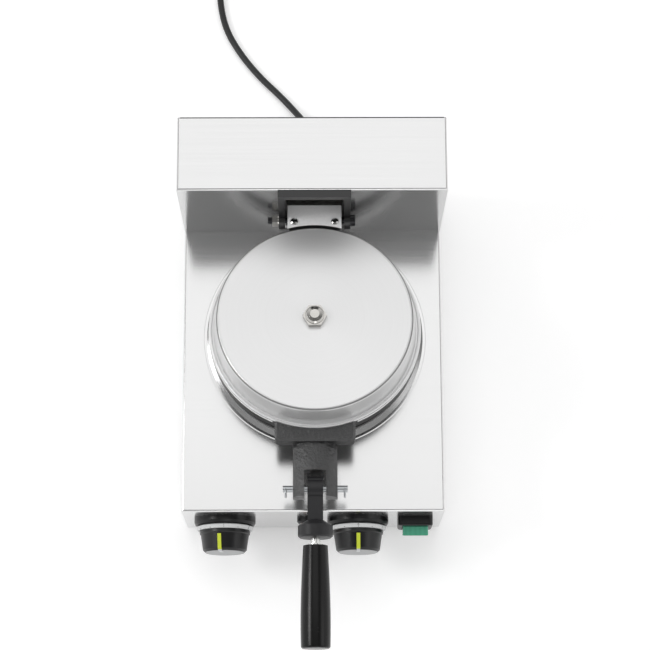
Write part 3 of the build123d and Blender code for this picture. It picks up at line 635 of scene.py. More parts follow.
# Small metal parts: a whitish plate, glinting nuts and rivets, greyer zinc, dark bolt and sheath.
# The cover plate is steel; its near-white diffuse colour paints the bright reflection it shows.
# Painted light: the plate's near-white diffuse colour stands in for the bright reflection of its steel.
COVER_PLATE_PAINTED_BRIGHT = PlatedMetal("etched_cover_plate", "#FAFAFA", 0.6, 700.0, 0.0)
BRIGHT_STEEL = PlatedMetal("bright_rolled_steel", "#DADAD8", 0.2)
NUT_STEEL = PlatedMetal("polished_nut_steel", "#C8C6C2", 0.16)
ZINC = PlatedMetal("zinc_plated_steel", "#B9BCBE", 0.3)
BLACK_BOLT = PlatedMetal("blackened_bolt_steel", "#3A3A3C", 0.35)
SHEATH = PlatedMetal("dull_sheath_steel", "#77746F", 0.45, 300.0)
# Castings: sparkling black grain with a bright line at each rim, a charcoal lever, a smooth bracket.
LOWER_CASTING = MachinedCasting("lower_casting_with_turned_rim", "#171718", 0.34, 360.0, 1.6, 1.0, 1.0,
                                HEAD_CENTRE)
UPPER_CASTING = MachinedCasting("upper_casting_with_turned_rim", "#171718", 0.34, 360.0, 1.6, 1.0, 1.0,
                                LID_CENTRE, -LID_AJAR, (0.0957, 0.0966), (-0.0018, 0.0006), 0.038)
LEVER_CASTING = CoatedCasting("charcoal_coated_lever", "#28282A", 0.44, 900.0, 0.16, 0.35)
BRACKET_COAT = CoatedCasting("black_bracket_paint", "#1A1A1B", 0.34, 1100.0, 0.12, 0.6)
# Plastics: long highlights on the grip, satin controls, a pale dial, a silvery knob face and its print.
GRIP_BAKELITE = MouldedPlastic("gloss_black_bakelite", "#090909", 0.26, 300.0, 0.02, 0.26)
KNOB_PLASTIC = MouldedPlastic("satin_black_knob_plastic", "#131314", 0.34, gloss=0.4)
CONTROL_PLASTIC = MouldedPlastic("black_control_plastic", "#0E0E0F", 0.34, gloss=0.35)
WORKS_PLASTIC = MouldedPlastic("dark_works_plastic", "#2E2E30", 0.5)
DIAL_PLASTIC = MouldedPlastic("pale_dial_plastic", "#DADBDB", 0.34, 600.0, 0.03)
KNOB_FACE = MouldedPlastic("silver_grey_knob_face", "#A9AAAB", 0.42, 700.0, 0.03, 0.7)
POINTER_PLASTIC = PointerFinish("yellow_green_pointer", "#CFDC3A", 0.32, 600.0, 0.03, front_y=KNOB_FRONT_Y)
PRINT_INK = MouldedPlastic("dark_scale_ink", "#2A2B2D", 0.5, 700.0, 0.02)
MARK_INK = MouldedPlastic("pale_mark_ink", "#E8F4EE", 0.45, 700.0, 0.02)
CERAMIC = MouldedPlastic("white_ceramic", "#E6E3DB", 0.55, 500.0, 0.08)
# Lenses: light goes in and comes back green or amber.
ROCKER_LENS = TintedPlastic("green_rocker_lens", "#58B795", 0.2, 0.25)
LAMP_LENS = TintedPlastic("amber_lamp_lens", "#D9741A", 0.18, 0.4)
# Rubber and PVC: the dullest surfaces, with a broad soft edge of light.
FOOT_RUBBER = Rubber("black_foot_rubber", "#1B1B1C", 0.62)
# A dark bead along the tower's rear edge: painted shade for the gap there, not a sealant.
PAINTED_SHADE_BEAD = Rubber("dark_seam_silicone", "#3B3B3C", 0.5)
CORD_PVC = Rubber("black_cord_pvc", "#161617", 0.42, 0.05)


# Meshes


def soften(mesh: bpy.types.Mesh) -> None:
    """Shades a mesh smooth, with its sharp edges kept."""
    mesh.shade_smooth()
    mesh.set_sharp_from_angle(angle=SHARP_EDGE)


def mesh_object(name: str, shape: bmesh.types.BMesh, smooth: bool = True) -> bpy.types.Object:
    """Puts a finished shape into the scene.

    Args:
        name: The piece's name.
        shape: The shape, in metres in the frame. It is freed.
        smooth: Whether its faces are shaded smooth.

    Returns:
        The new object, at the origin.
    """
    mesh = bpy.data.meshes.new(name)
    shape.to_mesh(mesh)
    shape.free()
    if smooth:
        soften(mesh)
    return put(name, mesh)


def baked(name: str, carrier: bpy.types.Object) -> bpy.types.Mesh:
    """Turns an object's evaluated shape into a plain mesh.

    Args:
        name: The mesh's name.
        carrier: The object, which is removed.

    Returns:
        The mesh.
    """
    evaluated = carrier.evaluated_get(bpy.context.evaluated_depsgraph_get())
    mesh = bpy.data.meshes.new_from_object(evaluated)
    mesh.name = name
    bpy.data.objects.remove(carrier)
    return mesh


def tube(name: str, kind: str, points: Sequence[Vector], radius: float, fineness: int) -> bpy.types.Object:
    """Draws a round tube along a line.

    Args:
        name: The curve's name.
        kind: POLY for straight lengths and NURBS for smooth bends.
        points: The line's control points, in metres.
        radius: The tube's radius in millimetres.
        fineness: How finely its outline is rounded.

    Returns:
        The curve object.
    """
    curve = bpy.data.curves.new(name, "CURVE")
    curve.dimensions = "3D"
    curve.bevel_depth = radius * MM
    curve.bevel_resolution = fineness
    curve.use_fill_caps = True
    line = curve.splines.new(kind)
    line.points.add(len(points) - 1)
    for knot, point in zip(line.points, points):
        knot.co = (*point, 1.0)
    return put(name, curve)


def ring_of_points(shape: bmesh.types.BMesh, radius: float, height: float,
                   steps: int) -> list[bmesh.types.BMVert]:
    """Adds points round Z.

    Args:
        shape: The shape that gets them.
        radius: The ring's radius in millimetres; 0 gives one point.
        height: Its height in millimetres.
        steps: How many points it has.

    Returns:
        The points.
    """
    if radius == 0.0:
        return [shape.verts.new((0.0, 0.0, height * MM))]
    angles = [2 * math.pi * i / steps for i in range(steps)]
    return [shape.verts.new((radius * MM * math.cos(a), radius * MM * math.sin(a), height * MM))
            for a in angles]


def join_rings(shape: bmesh.types.BMesh, rings: Sequence[Sequence[bmesh.types.BMVert]]) -> None:
    """Spans neighbouring closed rings with faces; a ring of one point is a pole.

    Args:
        shape: The shape that gets the faces.
        rings: The rings, of which two neighbours have as many points or one has a single point.
    """
    for low, high in zip(rings, rings[1:]):
        steps = max(len(low), len(high))
        for i in range(steps):
            j = (i + 1) % steps
            corners = dict.fromkeys((low[i % len(low)], low[j % len(low)], high[j % len(high)],
                                     high[i % len(high)]))
            if len(corners) > 2:
                shape.faces.new(list(corners))


def settle(shape: bmesh.types.BMesh, place: Matrix | None = None) -> None:
    """Moves a shape to its place and turns its faces outwards.

    Args:
        shape: The shape.
        place: Where it goes, if it isn't there yet.
    """
    if place is not None:
        bmesh.ops.transform(shape, matrix=place, verts=shape.verts)
    bmesh.ops.recalc_face_normals(shape, faces=shape.faces)


def turned_shape(profile: Sequence[Pair], turn: Matrix, steps: int) -> bmesh.types.BMesh:
    """Turns a closed profile round an axis, as a lathe does.

    Args:
        profile: (radius, height) points in millimetres, from one pole or end round to the other.
        turn: Takes the shape from its own axis, Z, into the frame, in metres.
        steps: Sides of each ring.

    Returns:
        The shape, with faces outwards.
    """
    shape = bmesh.new()
    join_rings(shape, [ring_of_points(shape, radius, height, steps) for radius, height in profile])
    settle(shape, turn)
    return shape


def screw_head(radius: float, rise: float) -> bmesh.types.BMesh:
    """A pan head with a cross recess, upright at the origin.

    Args:
        radius: The head's radius in millimetres.
        rise: Its height in millimetres.

    Returns:
        The shape.
    """
    shape = bmesh.new()
    steps = 24
    wide, long, floor = radius * 0.12, radius * 0.5, rise * 0.45
    arm = [(long, -wide), (long, wide), (wide, wide)]
    corners: list[Pair] = []
    for _ in range(4):
        corners += arm
        arm = [(-y, x) for x, y in arm]
    cross = [[shape.verts.new((x * MM * taper, y * MM * taper, height * MM)) for x, y in corners]
             for taper, height in ((0.85, floor), (1.0, rise))]
    shape.faces.new(cross[0])
    join_rings(shape, cross)
    dome = ((0.62, rise), (0.85, rise * 0.9), (0.97, rise * 0.6), (1.0, 0.0), (0.6, -0.6))
    loops = [ring_of_points(shape, radius * share, height, steps) for share, height in dome]
    join_rings(shape, loops)
    shape.faces.new(loops[-1])
    edges = [shape.edges.get((ring[i], ring[(i + 1) % len(ring)])) for ring in (cross[1], loops[0])
             for i in range(len(ring))]
    bmesh.ops.bridge_loops(shape, edges=edges)
    settle(shape)
    return shape


# Repeated pieces


@dataclass
class Repeater:
    """A Geometry Nodes tree that repeats a piece.

    Attributes:
        name: The tree's name.
        inputs: Its named inputs, as (name, socket type).
        lay: Adds the nodes that lay out the copies, and gives their geometry.
    """

    name: str
    inputs: Sequence[tuple[str, str]]
    lay: Callable[[Tree, dict[str, Socket]], Socket]

    def tree(self) -> Tree:
        """Builds the tree once.

        Returns:
            The tree, which ends in Realize Instances and Set Material.
        """
        found = bpy.data.node_groups.get(self.name)
        if found:
            return found
        tree = bpy.data.node_groups.new(self.name, "GeometryNodeTree")
        for name, kind in (*self.inputs, ("Place", "NodeSocketVector"), ("Turn", "NodeSocketVector"),
                           ("Finish", "NodeSocketMaterial")):
            tree.interface.new_socket(name=name, in_out="INPUT", socket_type=kind)
        tree.interface.new_socket(name="Geometry", in_out="OUTPUT", socket_type="NodeSocketGeometry")
        sockets = {socket.name: socket for socket in add(tree, "NodeGroupInput").outputs if socket.name}
        placed = add(tree, "GeometryNodeTransform", Geometry=self.lay(tree, sockets),
                     Translation=sockets["Place"], Rotation=sockets["Turn"])
        real = add(tree, "GeometryNodeRealizeInstances", Geometry=placed.outputs["Geometry"])
        done = add(tree, "GeometryNodeSetMaterial", Geometry=real.outputs["Geometry"],
                   Material=sockets["Finish"])
        add(tree, "NodeGroupOutput", Geometry=done.outputs["Geometry"])
        return tree

    def make(self, name: str, **values: Any) -> bpy.types.Object:
        """Runs the tree and keeps its result as a plain mesh.

        Args:
            name: The new piece's name.
            **values: The inputs, by name.

        Returns:
            The piece.
        """
        carrier = put("carrier", bpy.data.meshes.new("carrier"))
        modifier = carrier.modifiers.new("repeat", "NODES")
        modifier.node_group = self.tree()
        for item in modifier.node_group.interface.items_tree:
            if item.in_out == "INPUT":
                modifier[item.identifier] = values[item.name]
        return put(name, baked(name, carrier))


def lay_ring_of_marks(tree: Tree, given: dict[str, Socket]) -> Socket:
    """Lays small bars round a cone, standing along its slope.

    Args:
        tree: The tree.
        given: Its inputs.

    Returns:
        The bars, as instances round Z.
    """
    ring = add(tree, "GeometryNodeMeshCircle", Vertices=given["Count"], Radius=given["Radius"])
    bar = add(tree, "GeometryNodeMeshCube", Size=given["Size"])
    lean = add(tree, "ShaderNodeCombineXYZ", Y=given["Lean"])
    leaning = add(tree, "GeometryNodeTransform", Geometry=bar.outputs["Mesh"],
                  Rotation=lean.outputs["Vector"])
    index = add(tree, "GeometryNodeInputIndex")
    share = reckon(tree, "DIVIDE", index.outputs["Index"], given["Count"])
    turn = add(tree, "ShaderNodeCombineXYZ", Z=reckon(tree, "MULTIPLY", share, 2 * math.pi))
    copies = add(tree, "GeometryNodeInstanceOnPoints", Points=ring.outputs["Mesh"],
                 Instance=leaning.outputs["Geometry"], Rotation=turn.outputs["Vector"])
    return copies.outputs["Instances"]


def lay_grid_of_pieces(tree: Tree, given: dict[str, Socket]) -> Socket:
    """Lays copies of a piece on a flat grid of points.

    Args:
        tree: The tree.
        given: Its inputs.

    Returns:
        The copies, as instances on XY.
    """
    grid = add(tree, "GeometryNodeMeshGrid", Size_X=given["Width"], Size_Y=given["Height"],
               Vertices_X=given["Columns"], Vertices_Y=given["Rows"])
    source = add(tree, "GeometryNodeObjectInfo", {"transform_space": "ORIGINAL"}, Object=given["Piece"])
    copies = add(tree, "GeometryNodeInstanceOnPoints", Points=grid.outputs["Mesh"],
                 Instance=source.outputs["Geometry"])
    return copies.outputs["Instances"]


RING_OF_MARKS = Repeater("ring_of_marks", (
    ("Count", "NodeSocketInt"), ("Radius", "NodeSocketFloat"), ("Size", "NodeSocketVector"),
    ("Lean", "NodeSocketFloat")), lay_ring_of_marks)
GRID_OF_PIECES = Repeater("grid_of_pieces", (
    ("Piece", "NodeSocketObject"), ("Columns", "NodeSocketInt"), ("Rows", "NodeSocketInt"),
    ("Width", "NodeSocketFloat"), ("Height", "NodeSocketFloat")), lay_grid_of_pieces)


# The object


@dataclass
class SubAssembly:
    """A group of pieces that are built and dressed together.

    Attributes:
        nodes: The frame's CAD nodes, by name.
    """

    nodes: dict[str, bpy.types.Object]

    def dress(self, finish: Finish, *names: str) -> None:
        """Gives CAD nodes their finish.

        Args:
            finish: The finish.
            *names: The nodes.
        """
        for name in names:
            slots = self.nodes[name].material_slots
            if not slots:
                self.nodes[name].data.materials.append(finish.material())
            for each in slots:
                each.material = finish.material()
            log.info("%s is dressed in %s", name, finish.name)

    def keep(self, piece: bpy.types.Object, body: Body, slot: str, finish: Finish | None = None) -> None:
        """Finishes a new piece and lets it ride on its body.

        Args:
            piece: The piece.
            body: The body that carries it.
            slot: The record's material slot; it is not used.
            finish: Its finish, where it has none yet.
        """
        if finish is not None:
            piece.data.materials.clear()
            piece.data.materials.append(finish.material())
        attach(piece, body.value)
        log.info("%s is built and rides on %s", piece.name, body.value)

    def build(self) -> None:
        """Builds and dresses the pieces."""
        raise NotImplementedError


@dataclass
class Housing(SubAssembly):
    """The folded stainless base: deck, tower, back panel, bottom plate and feet.

    Attributes:
        width: Its width.
        depth: Its depth.
        foot_height: The bottom plate's height over the table.
        tower_top: The tower's top over the table.
        screw_inset: From the back panel's edge to its screws.
        screw_radius: A screw head's radius.
        screw_rise: A screw head's height.
        side_screws: Screws along each side of the back panel.
        shade_line_radius: The dark bead along the tower's rear edge, which paints the shade in the gap there.
        shade_line_inset: From the tower's outside to the bead's middle.
        shade_line_corner: How far the bead cuts a corner.
        baffle_gap: From the back panel to the baffle inside it.
        baffle_width: The baffle's width.
        baffle_low: The baffle's lower edge over the table.
        baffle_high: The baffle's upper edge over the table.
    """

    width: float = 240.0
    depth: float = 334.0
    foot_height: float = 8.0
    tower_top: float = 232.0
    screw_inset: float = 9.0
    screw_radius: float = 3.4
    screw_rise: float = 2.0
    side_screws: int = 3
    shade_line_radius: float = 0.7
    shade_line_inset: float = 0.45
    shade_line_corner: float = 2.0
    baffle_gap: float = 9.0
    baffle_width: float = 214.0
    baffle_low: float = 138.0
    baffle_high: float = 214.0

    def build(self) -> None:
        """Dresses the sheets and the feet, adds what the back panel carries, and lays the bead of painted
        shade.
        """
        # The deck and the tower get a lighter and a darker copy of one steel: painted light and shade.
        self.dress(DECK_STEEL_LIT_COPY, "deck_shell")
        self.dress(TOWER_STEEL_SHADED_COPY, "tower_shell")
        self.dress(BACK_STEEL, "back_panel", "bottom_plate")
        self.dress(FOOT_RUBBER, "foot_front_left", "foot_front_right", "foot_rear_left", "foot_rear_right")
        self.dress(ZINC, "foot_screws")
        self.add_screws()
        self.add_shade_line()
        self.add_baffle()

    def add_shade_line(self) -> None:
        """Lays a dark bead where the back panel meets the tower's top and sides: painted shade along that
        edge.
        """
        side, top, cut = self.width / 2 - 0.5, self.tower_top - self.shade_line_inset, self.shade_line_corner
        half = [(-side, self.foot_height + cut), (-side, top - cut), (-side + cut, top)]
        corners = half + [(-x, z) for x, z in reversed(half)]
        points = [at(x, self.depth - self.shade_line_inset, z) for x, z in corners]
        name = "tower_rear_seam"
        # The bead is painted shade: a dark rod where the edge only lies in shadow.
        shade_line = put(name, baked(name, tube(name, "POLY", points, self.shade_line_radius, 2)))
        self.keep(shade_line, Body.BASE, "rubber_feet", PAINTED_SHADE_BEAD)

    def add_baffle(self) -> None:
        """Hangs the folded baffle that keeps fingers and light out of the louvres."""
        half = self.baffle_width / 2
        panel = self.depth - 1.2
        near = panel - self.baffle_gap
        low, high = self.baffle_low, self.baffle_high
        profile = [(panel, high + 4), (panel - 1, high + 4), (panel - 1, high + 1), (near, high - 4),
                   (near, low), (near + 1, low), (near + 1, high - 4.5), (panel, high)]
        shape = bmesh.new()
        ends = [[shape.verts.new(at(x, y, z)) for y, z in profile] for x in (-half, half)]
        join_rings(shape, ends)
        bmesh.ops.triangulate(shape, faces=[shape.faces.new(end) for end in ends])
        settle(shape)
        baffle = mesh_object("louvre_baffle", shape, smooth=False)
        self.keep(baffle, Body.BASE, "zinc_steel", ZINC)

    def add_screws(self) -> None:
        """Sets the rows of screws that hold the back panel."""
        source = mesh_object("panel_screw_pattern", screw_head(self.screw_radius, self.screw_rise))
        middle = (self.foot_height + self.tower_top) / 2
        screws = GRID_OF_PIECES.make(
            "back_panel_screws", Piece=source, Columns=2, Rows=self.side_screws,
            Width=(self.width - 2 * self.screw_inset) * MM,
            Height=(self.tower_top - self.foot_height - 2 * self.screw_inset) * MM,
            Place=tuple(at(0.0, self.depth, middle)), Turn=(-math.pi / 2, 0.0, 0.0), Finish=ZINC.material())
        bpy.data.objects.remove(source)
        soften(screws.data)
        self.keep(screws, Body.BASE, "zinc_steel")


@dataclass
class CookingHead(SubAssembly):
    """The fixed lower mould on its drum, with its trim ring and what heats it."""

    def build(self) -> None:
        """Dresses the drum, the mould and the element."""
        self.dress(RING_STEEL, "deck_ring")
        self.dress(DRUM_STEEL, "lower_drum")
        self.dress(LOWER_CASTING, "lower_mould")
        self.dress(SHEATH, "lower_element", "sensing_bulb")
        self.dress(ZINC, "heat_shield")


@dataclass
class Lid(SubAssembly):
    """The hinged upper mould under its spun cap, with the latch pin at its front."""

    def build(self) -> None:
        """Dresses the casting, the cap, its nut and the cover of the wires."""
        self.dress(UPPER_CASTING, "upper_mould")
        self.dress(CAP_STEEL, "lid_cap")
        self.dress(NUT_STEEL, "cap_nut")
        # The cover's near-white diffuse colour is painted light: it stands in for its steel's bright
        # reflection.
        self.dress(COVER_PLATE_PAINTED_BRIGHT, "wire_cover")
        self.dress(BRIGHT_STEEL, "cover_rivets")
        self.dress(ZINC, "cap_stud", "latch_pin", "pin_clips")
        self.dress(SHEATH, "upper_element")
        self.dress(CERAMIC, "insulation_pad")


@dataclass
class LatchLever(SubAssembly):
    """The cast lever that latches the lid, with its stud and its turned grip."""

    def build(self) -> None:
        """Dresses the casting, the stud and the grip."""
        self.dress(LEVER_CASTING, "latch_lever")
        self.dress(BRIGHT_STEEL, "handle_stud")
        self.dress(GRIP_BAKELITE, "handle_grip")


@dataclass
class Hinge(SubAssembly):
    """The bracket on the tower and the bolt that the lid turns on."""

    def build(self) -> None:
        """Dresses the bracket, its screws and the bolt."""
        self.dress(BRACKET_COAT, "hinge_bracket")
        self.dress(BLACK_BOLT, "hinge_pin")
        self.dress(NUT_STEEL, "hinge_nut", "hinge_washer")
        self.dress(ZINC, "bracket_screws")


@dataclass
class Dial(SubAssembly):
    """A rotary control: bezel, dial with its printed scale, knob and pointer.

    Attributes:
        control: The control's name, which starts its nodes' names.
        x: The dial's middle.
        numbers: Numbers round the dial, clockwise from the top.
        lean_at_rest: The knob's turn at rest, in degrees, anticlockwise.
        number_step: Degrees between two numbers.
        marks: Marks round the dial.
        z: The dial's height.
        bezel_depth: The bezel's depth in front of the panel.
        rim_radius: The dial's radius where its slope starts.
        front_radius: The dial's radius at its front.
        slope_start: Where its slope starts, in front of the bezel.
        slope_end: Where its slope ends, in front of the bezel.
        mark_size: A mark's width and length.
        mark_rise: How far a mark stands proud.
        mark_margin: From a mark to the slope's end.
        number_height: A number's height.
        font_share: A number's height as a share of its font's size.
        number_sink: How far a number reaches over the slope's start.
        knob_front: The knob's front face, from the panel.
        face_radius: The radius of the face's inlay.
        face_rise: How far the inlay stands proud.
        face_sink: How deep the inlay sits in the knob.
        face_bevel: The inlay's rounded edge.
        slot_width: The gap in the inlay for the pointer.
        slot_length: How far the gap reaches in.
    """

    control: str
    x: float
    numbers: str
    lean_at_rest: float = 0.0
    number_step: float = 60.0
    marks: int = 12
    z: float = 62.0
    bezel_depth: float = 7.5
    rim_radius: float = 26.6
    front_radius: float = 25.0
    slope_start: float = 0.8
    slope_end: float = 4.0
    mark_size: Pair = (0.34, 0.9)
    mark_rise: float = 0.12
    mark_margin: float = 0.25
    number_height: float = 2.0
    font_share: float = 0.7
    number_sink: float = 0.1
    knob_front: float = 31.3
    face_radius: float = 18.1
    face_rise: float = 0.35
    face_sink: float = 0.2
    face_bevel: float = 0.12
    slot_width: float = 4.0
    slot_length: float = 11.5

    def build(self) -> None:
        """Dresses the control and prints its scale."""
        for finish, end in ((CONTROL_PLASTIC, "bezel"), (DIAL_PLASTIC, "dial"), (KNOB_PLASTIC, "knob"),
                            (POINTER_PLASTIC, "pointer"), (ZINC, "shaft"), (WORKS_PLASTIC, "body")):
            self.dress(finish, f"{self.control}_{end}")
        self.add_marks()
        self.add_numbers()
        self.add_face()

    def add_face(self) -> None:
        """Inlays the knob's front with a disc that leaves room for the pointer's end."""
        radius, half, steps = self.face_radius, self.slot_width / 2, 72
        gap = math.asin(half / radius)
        outline = [(radius * math.sin(a), radius * math.cos(a))
                   for a in (gap + (2 * math.pi - 2 * gap) * i / steps for i in range(steps + 1))]
        outline += [(-half, radius - self.slot_length), (half, radius - self.slot_length)]
        shape = bmesh.new()
        rings = []
        for inset, rise in ((0.0, -self.face_sink), (0.0, self.face_rise - self.face_bevel),
                            (self.face_bevel, self.face_rise)):
            scale = (1.0 - inset / radius) * MM
            rings.append([shape.verts.new((u * scale, -rise * MM, v * scale)) for u, v in outline])
        join_rings(shape, rings)
        caps = [shape.faces.new(ring) for ring in (rings[0], rings[-1])]
        bmesh.ops.triangulate(shape, faces=caps)
        settle(shape, Matrix.Translation(at(self.x, -self.knob_front, self.z))
               @ Matrix.Rotation(-math.radians(self.lean_at_rest), 4, "Y"))
        face = mesh_object(self.control + "_knob_face", shape)
        self.keep(face, Body(self.control), "knob_black", KNOB_FACE)

    def slope(self, foot: float) -> Pair:
        """The slope's lean towards the axis, in radians, and its radius at a distance from the bezel."""
        lean = math.atan2(self.rim_radius - self.front_radius, self.slope_end - self.slope_start)
        return lean, self.rim_radius - (foot - self.slope_start) * math.tan(lean)

    def add_marks(self) -> None:
        """Lays the scale's marks on the slope."""
        width, length = self.mark_size
        foot = self.slope_end - length / 2 - self.mark_margin
        lean, radius = self.slope(foot)
        marks = RING_OF_MARKS.make(
            self.control + "_scale_marks", Count=self.marks, Radius=radius * MM,
            Size=(2 * self.mark_rise * MM, width * MM, length * MM), Lean=-lean,
            Place=tuple(at(self.x, -self.bezel_depth - foot, self.z)), Turn=(math.pi / 2, 0.0, 0.0),
            Finish=PRINT_INK.material())
        self.keep(marks, Body.BASE, "black_plastic")

    def add_numbers(self) -> None:
        """Sets the numbers on the slope, upright for a person in front of the dial's top."""
        foot = self.slope_start + self.number_height / 2 - self.number_sink
        lean, radius = self.slope(foot)
        top = Matrix.Translation((0.0, -foot * MM, radius * MM)) @ Matrix.Rotation(lean, 4, "X")
        middle = Matrix.Translation(at(self.x, -self.bezel_depth, self.z))
        shape = bmesh.new()
        for i, number in enumerate(self.numbers):
            text = bpy.data.curves.new("number", "FONT")
            text.body = number
            text.size = self.number_height * MM / self.font_share
            text.extrude = self.mark_rise * MM
            text.align_x = "CENTER"
            text.align_y = "CENTER"
            mesh = baked("number", put("number", text))
            mesh.transform(middle @ Matrix.Rotation(math.radians(i * self.number_step), 4, "Y") @ top)
            shape.from_mesh(mesh)
            bpy.data.curves.remove(text)
            bpy.data.meshes.remove(mesh)
        numbers = mesh_object(self.control + "_scale_numbers", shape, smooth=False)
        self.keep(numbers, Body.BASE, "black_plastic", PRINT_INK)


@dataclass
class PowerSwitch(SubAssembly):
    """The lit rocker in its housing, the lamp beside the handle, and what is behind them.

    Attributes:
        x: The rocker's middle.
        z: The rocker's height.
        pivot: The rocker's axis in front of the panel.
        face: The middle of the rocker's face in front of its axis.
        width: The rocker's width.
        height: The rocker's height.
        edge: The roundness of its edges.
        dish: How far its face rises towards each end, and the end's distance from the rim.
        pin: The radius and the length of its pivots.
        tilt: The rocker's lean at rest, in degrees.
        mark_size: A mark's height.
        mark_line: A mark's line width.
        mark_rise: How far a mark stands proud, and is sunk.
        mark_seat: From the rocker's middle to a mark's.
        oval: The circle's width as a share of its height.
    """

    x: float = 94.5
    z: float = 64.0
    pivot: float = 2.7
    face: float = 12.6
    width: float = 23.5
    height: float = 22.0
    edge: float = 0.9
    dish: float = 0.9
    pin: Pair = (1.2, 2.0)
    tilt: float = 8.0
    mark_size: float = 4.4
    mark_line: float = 0.7
    mark_rise: float = 0.12
    mark_seat: float = 5.2
    oval: float = 0.8

    def build(self) -> None:
        """Dresses the switch and the lamp, and prints the rocker's marks."""
        self.dress(CONTROL_PLASTIC, "switch_housing", "switch_body", "lamp_bezel")
        self.add_rocker()
        self.dress(LAMP_LENS, "pilot_lamp")
        for seat in Seat:
            self.add_mark(seat)

    def rest(self) -> Matrix:
        """The rocker's place at rest, from its own axis."""
        return (Matrix.Translation(at(self.x, -self.pivot, self.z))
                @ Matrix.Rotation(math.radians(self.tilt), 4, "X"))

    def add_rocker(self) -> None:
        """Moulds the clear cap of the rocker with its dished face and its pivots."""
        top, half = self.height / 2, self.width / 2
        flank = [(0.6, 3.0), (-2.2, top - 3.0), (-5.5, top), (-self.face - self.dish, top - 0.3)]
        face = [(-self.face - self.dish * (v / 4) ** 2, (top - self.dish) * v / 4) for v in range(3, -4, -1)]
        outline = flank + face + [(y, -z) for y, z in reversed(flank)]
        shape = bmesh.new()
        ends = [[shape.verts.new((x * MM, y * MM, z * MM)) for y, z in outline] for x in (-half, half)]
        join_rings(shape, ends)
        for end in ends:
            shape.faces.new(end)
        settle(shape)
        rims = [e for e in shape.edges if abs(e.verts[0].co.x - e.verts[1].co.x) < 1e-6
                and min(v.co.y for v in e.verts) < -6 * MM]
        bmesh.ops.bevel(shape, geom=rims, offset=self.edge * MM, segments=3, affect="EDGES", profile=0.5)
        radius, length = self.pin
        for side in (-1, 1):
            pin = turned_shape([(0.0, 0.0), (radius, 0.0), (radius, length), (0.0, length)],
                               Matrix.Translation((side * half * MM, 0.0, 0.0))
                               @ Matrix.Rotation(side * math.pi / 2, 4, "Y"), 16)
            part = bpy.data.meshes.new("pin")
            pin.to_mesh(part)
            pin.free()
            shape.from_mesh(part)
            bpy.data.meshes.remove(part)
        bmesh.ops.transform(shape, matrix=self.rest(), verts=shape.verts)
        rocker = mesh_object("rocker_cap", shape)
        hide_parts("power_rocker")
        self.keep(rocker, Body.ROCKER, "rocker_green", ROCKER_LENS)

    def add_mark(self, seat: Seat) -> None:
        """Prints one of the rocker's two marks.

        Args:
            seat: The bar goes high and the circle goes low.
        """
        half, line, steps = self.mark_size / 2, self.mark_line, 28
        if seat is Seat.HIGH:
            lines = [[(-line / 2, -half), (line / 2, -half), (line / 2, half), (-line / 2, half)]]
        else:
            angles = [2 * math.pi * i / steps for i in range(steps)]
            lines = [[((half * self.oval - inset) * math.cos(a), (half - inset) * math.sin(a))
                      for a in angles] for inset in (0.0, line)]
        shape = bmesh.new()
        walls = [[[shape.verts.new((u * MM, rise * MM, v * MM)) for u, v in points]
                  for rise in (self.mark_rise, -self.mark_rise)] for points in lines]
        for wall in walls:
            join_rings(shape, wall)
        for side in zip(*walls):
            if seat is Seat.HIGH:
                shape.faces.new(side[0])
            else:
                join_rings(shape, side)
        reach = self.height / 2 - self.dish
        depth = self.face + self.dish * (self.mark_seat / reach) ** 2
        slope = self.dish * 2 * self.mark_seat / reach ** 2
        settle(shape, self.rest() @ Matrix.Translation((0.0, -depth * MM, seat.value * self.mark_seat * MM))
               @ Matrix.Rotation(seat.value * math.atan(slope), 4, "X"))
        mark = mesh_object("rocker_mark_" + seat.name.lower(), shape, smooth=False)
        self.keep(mark, Body.ROCKER, "rocker_green", MARK_INK)


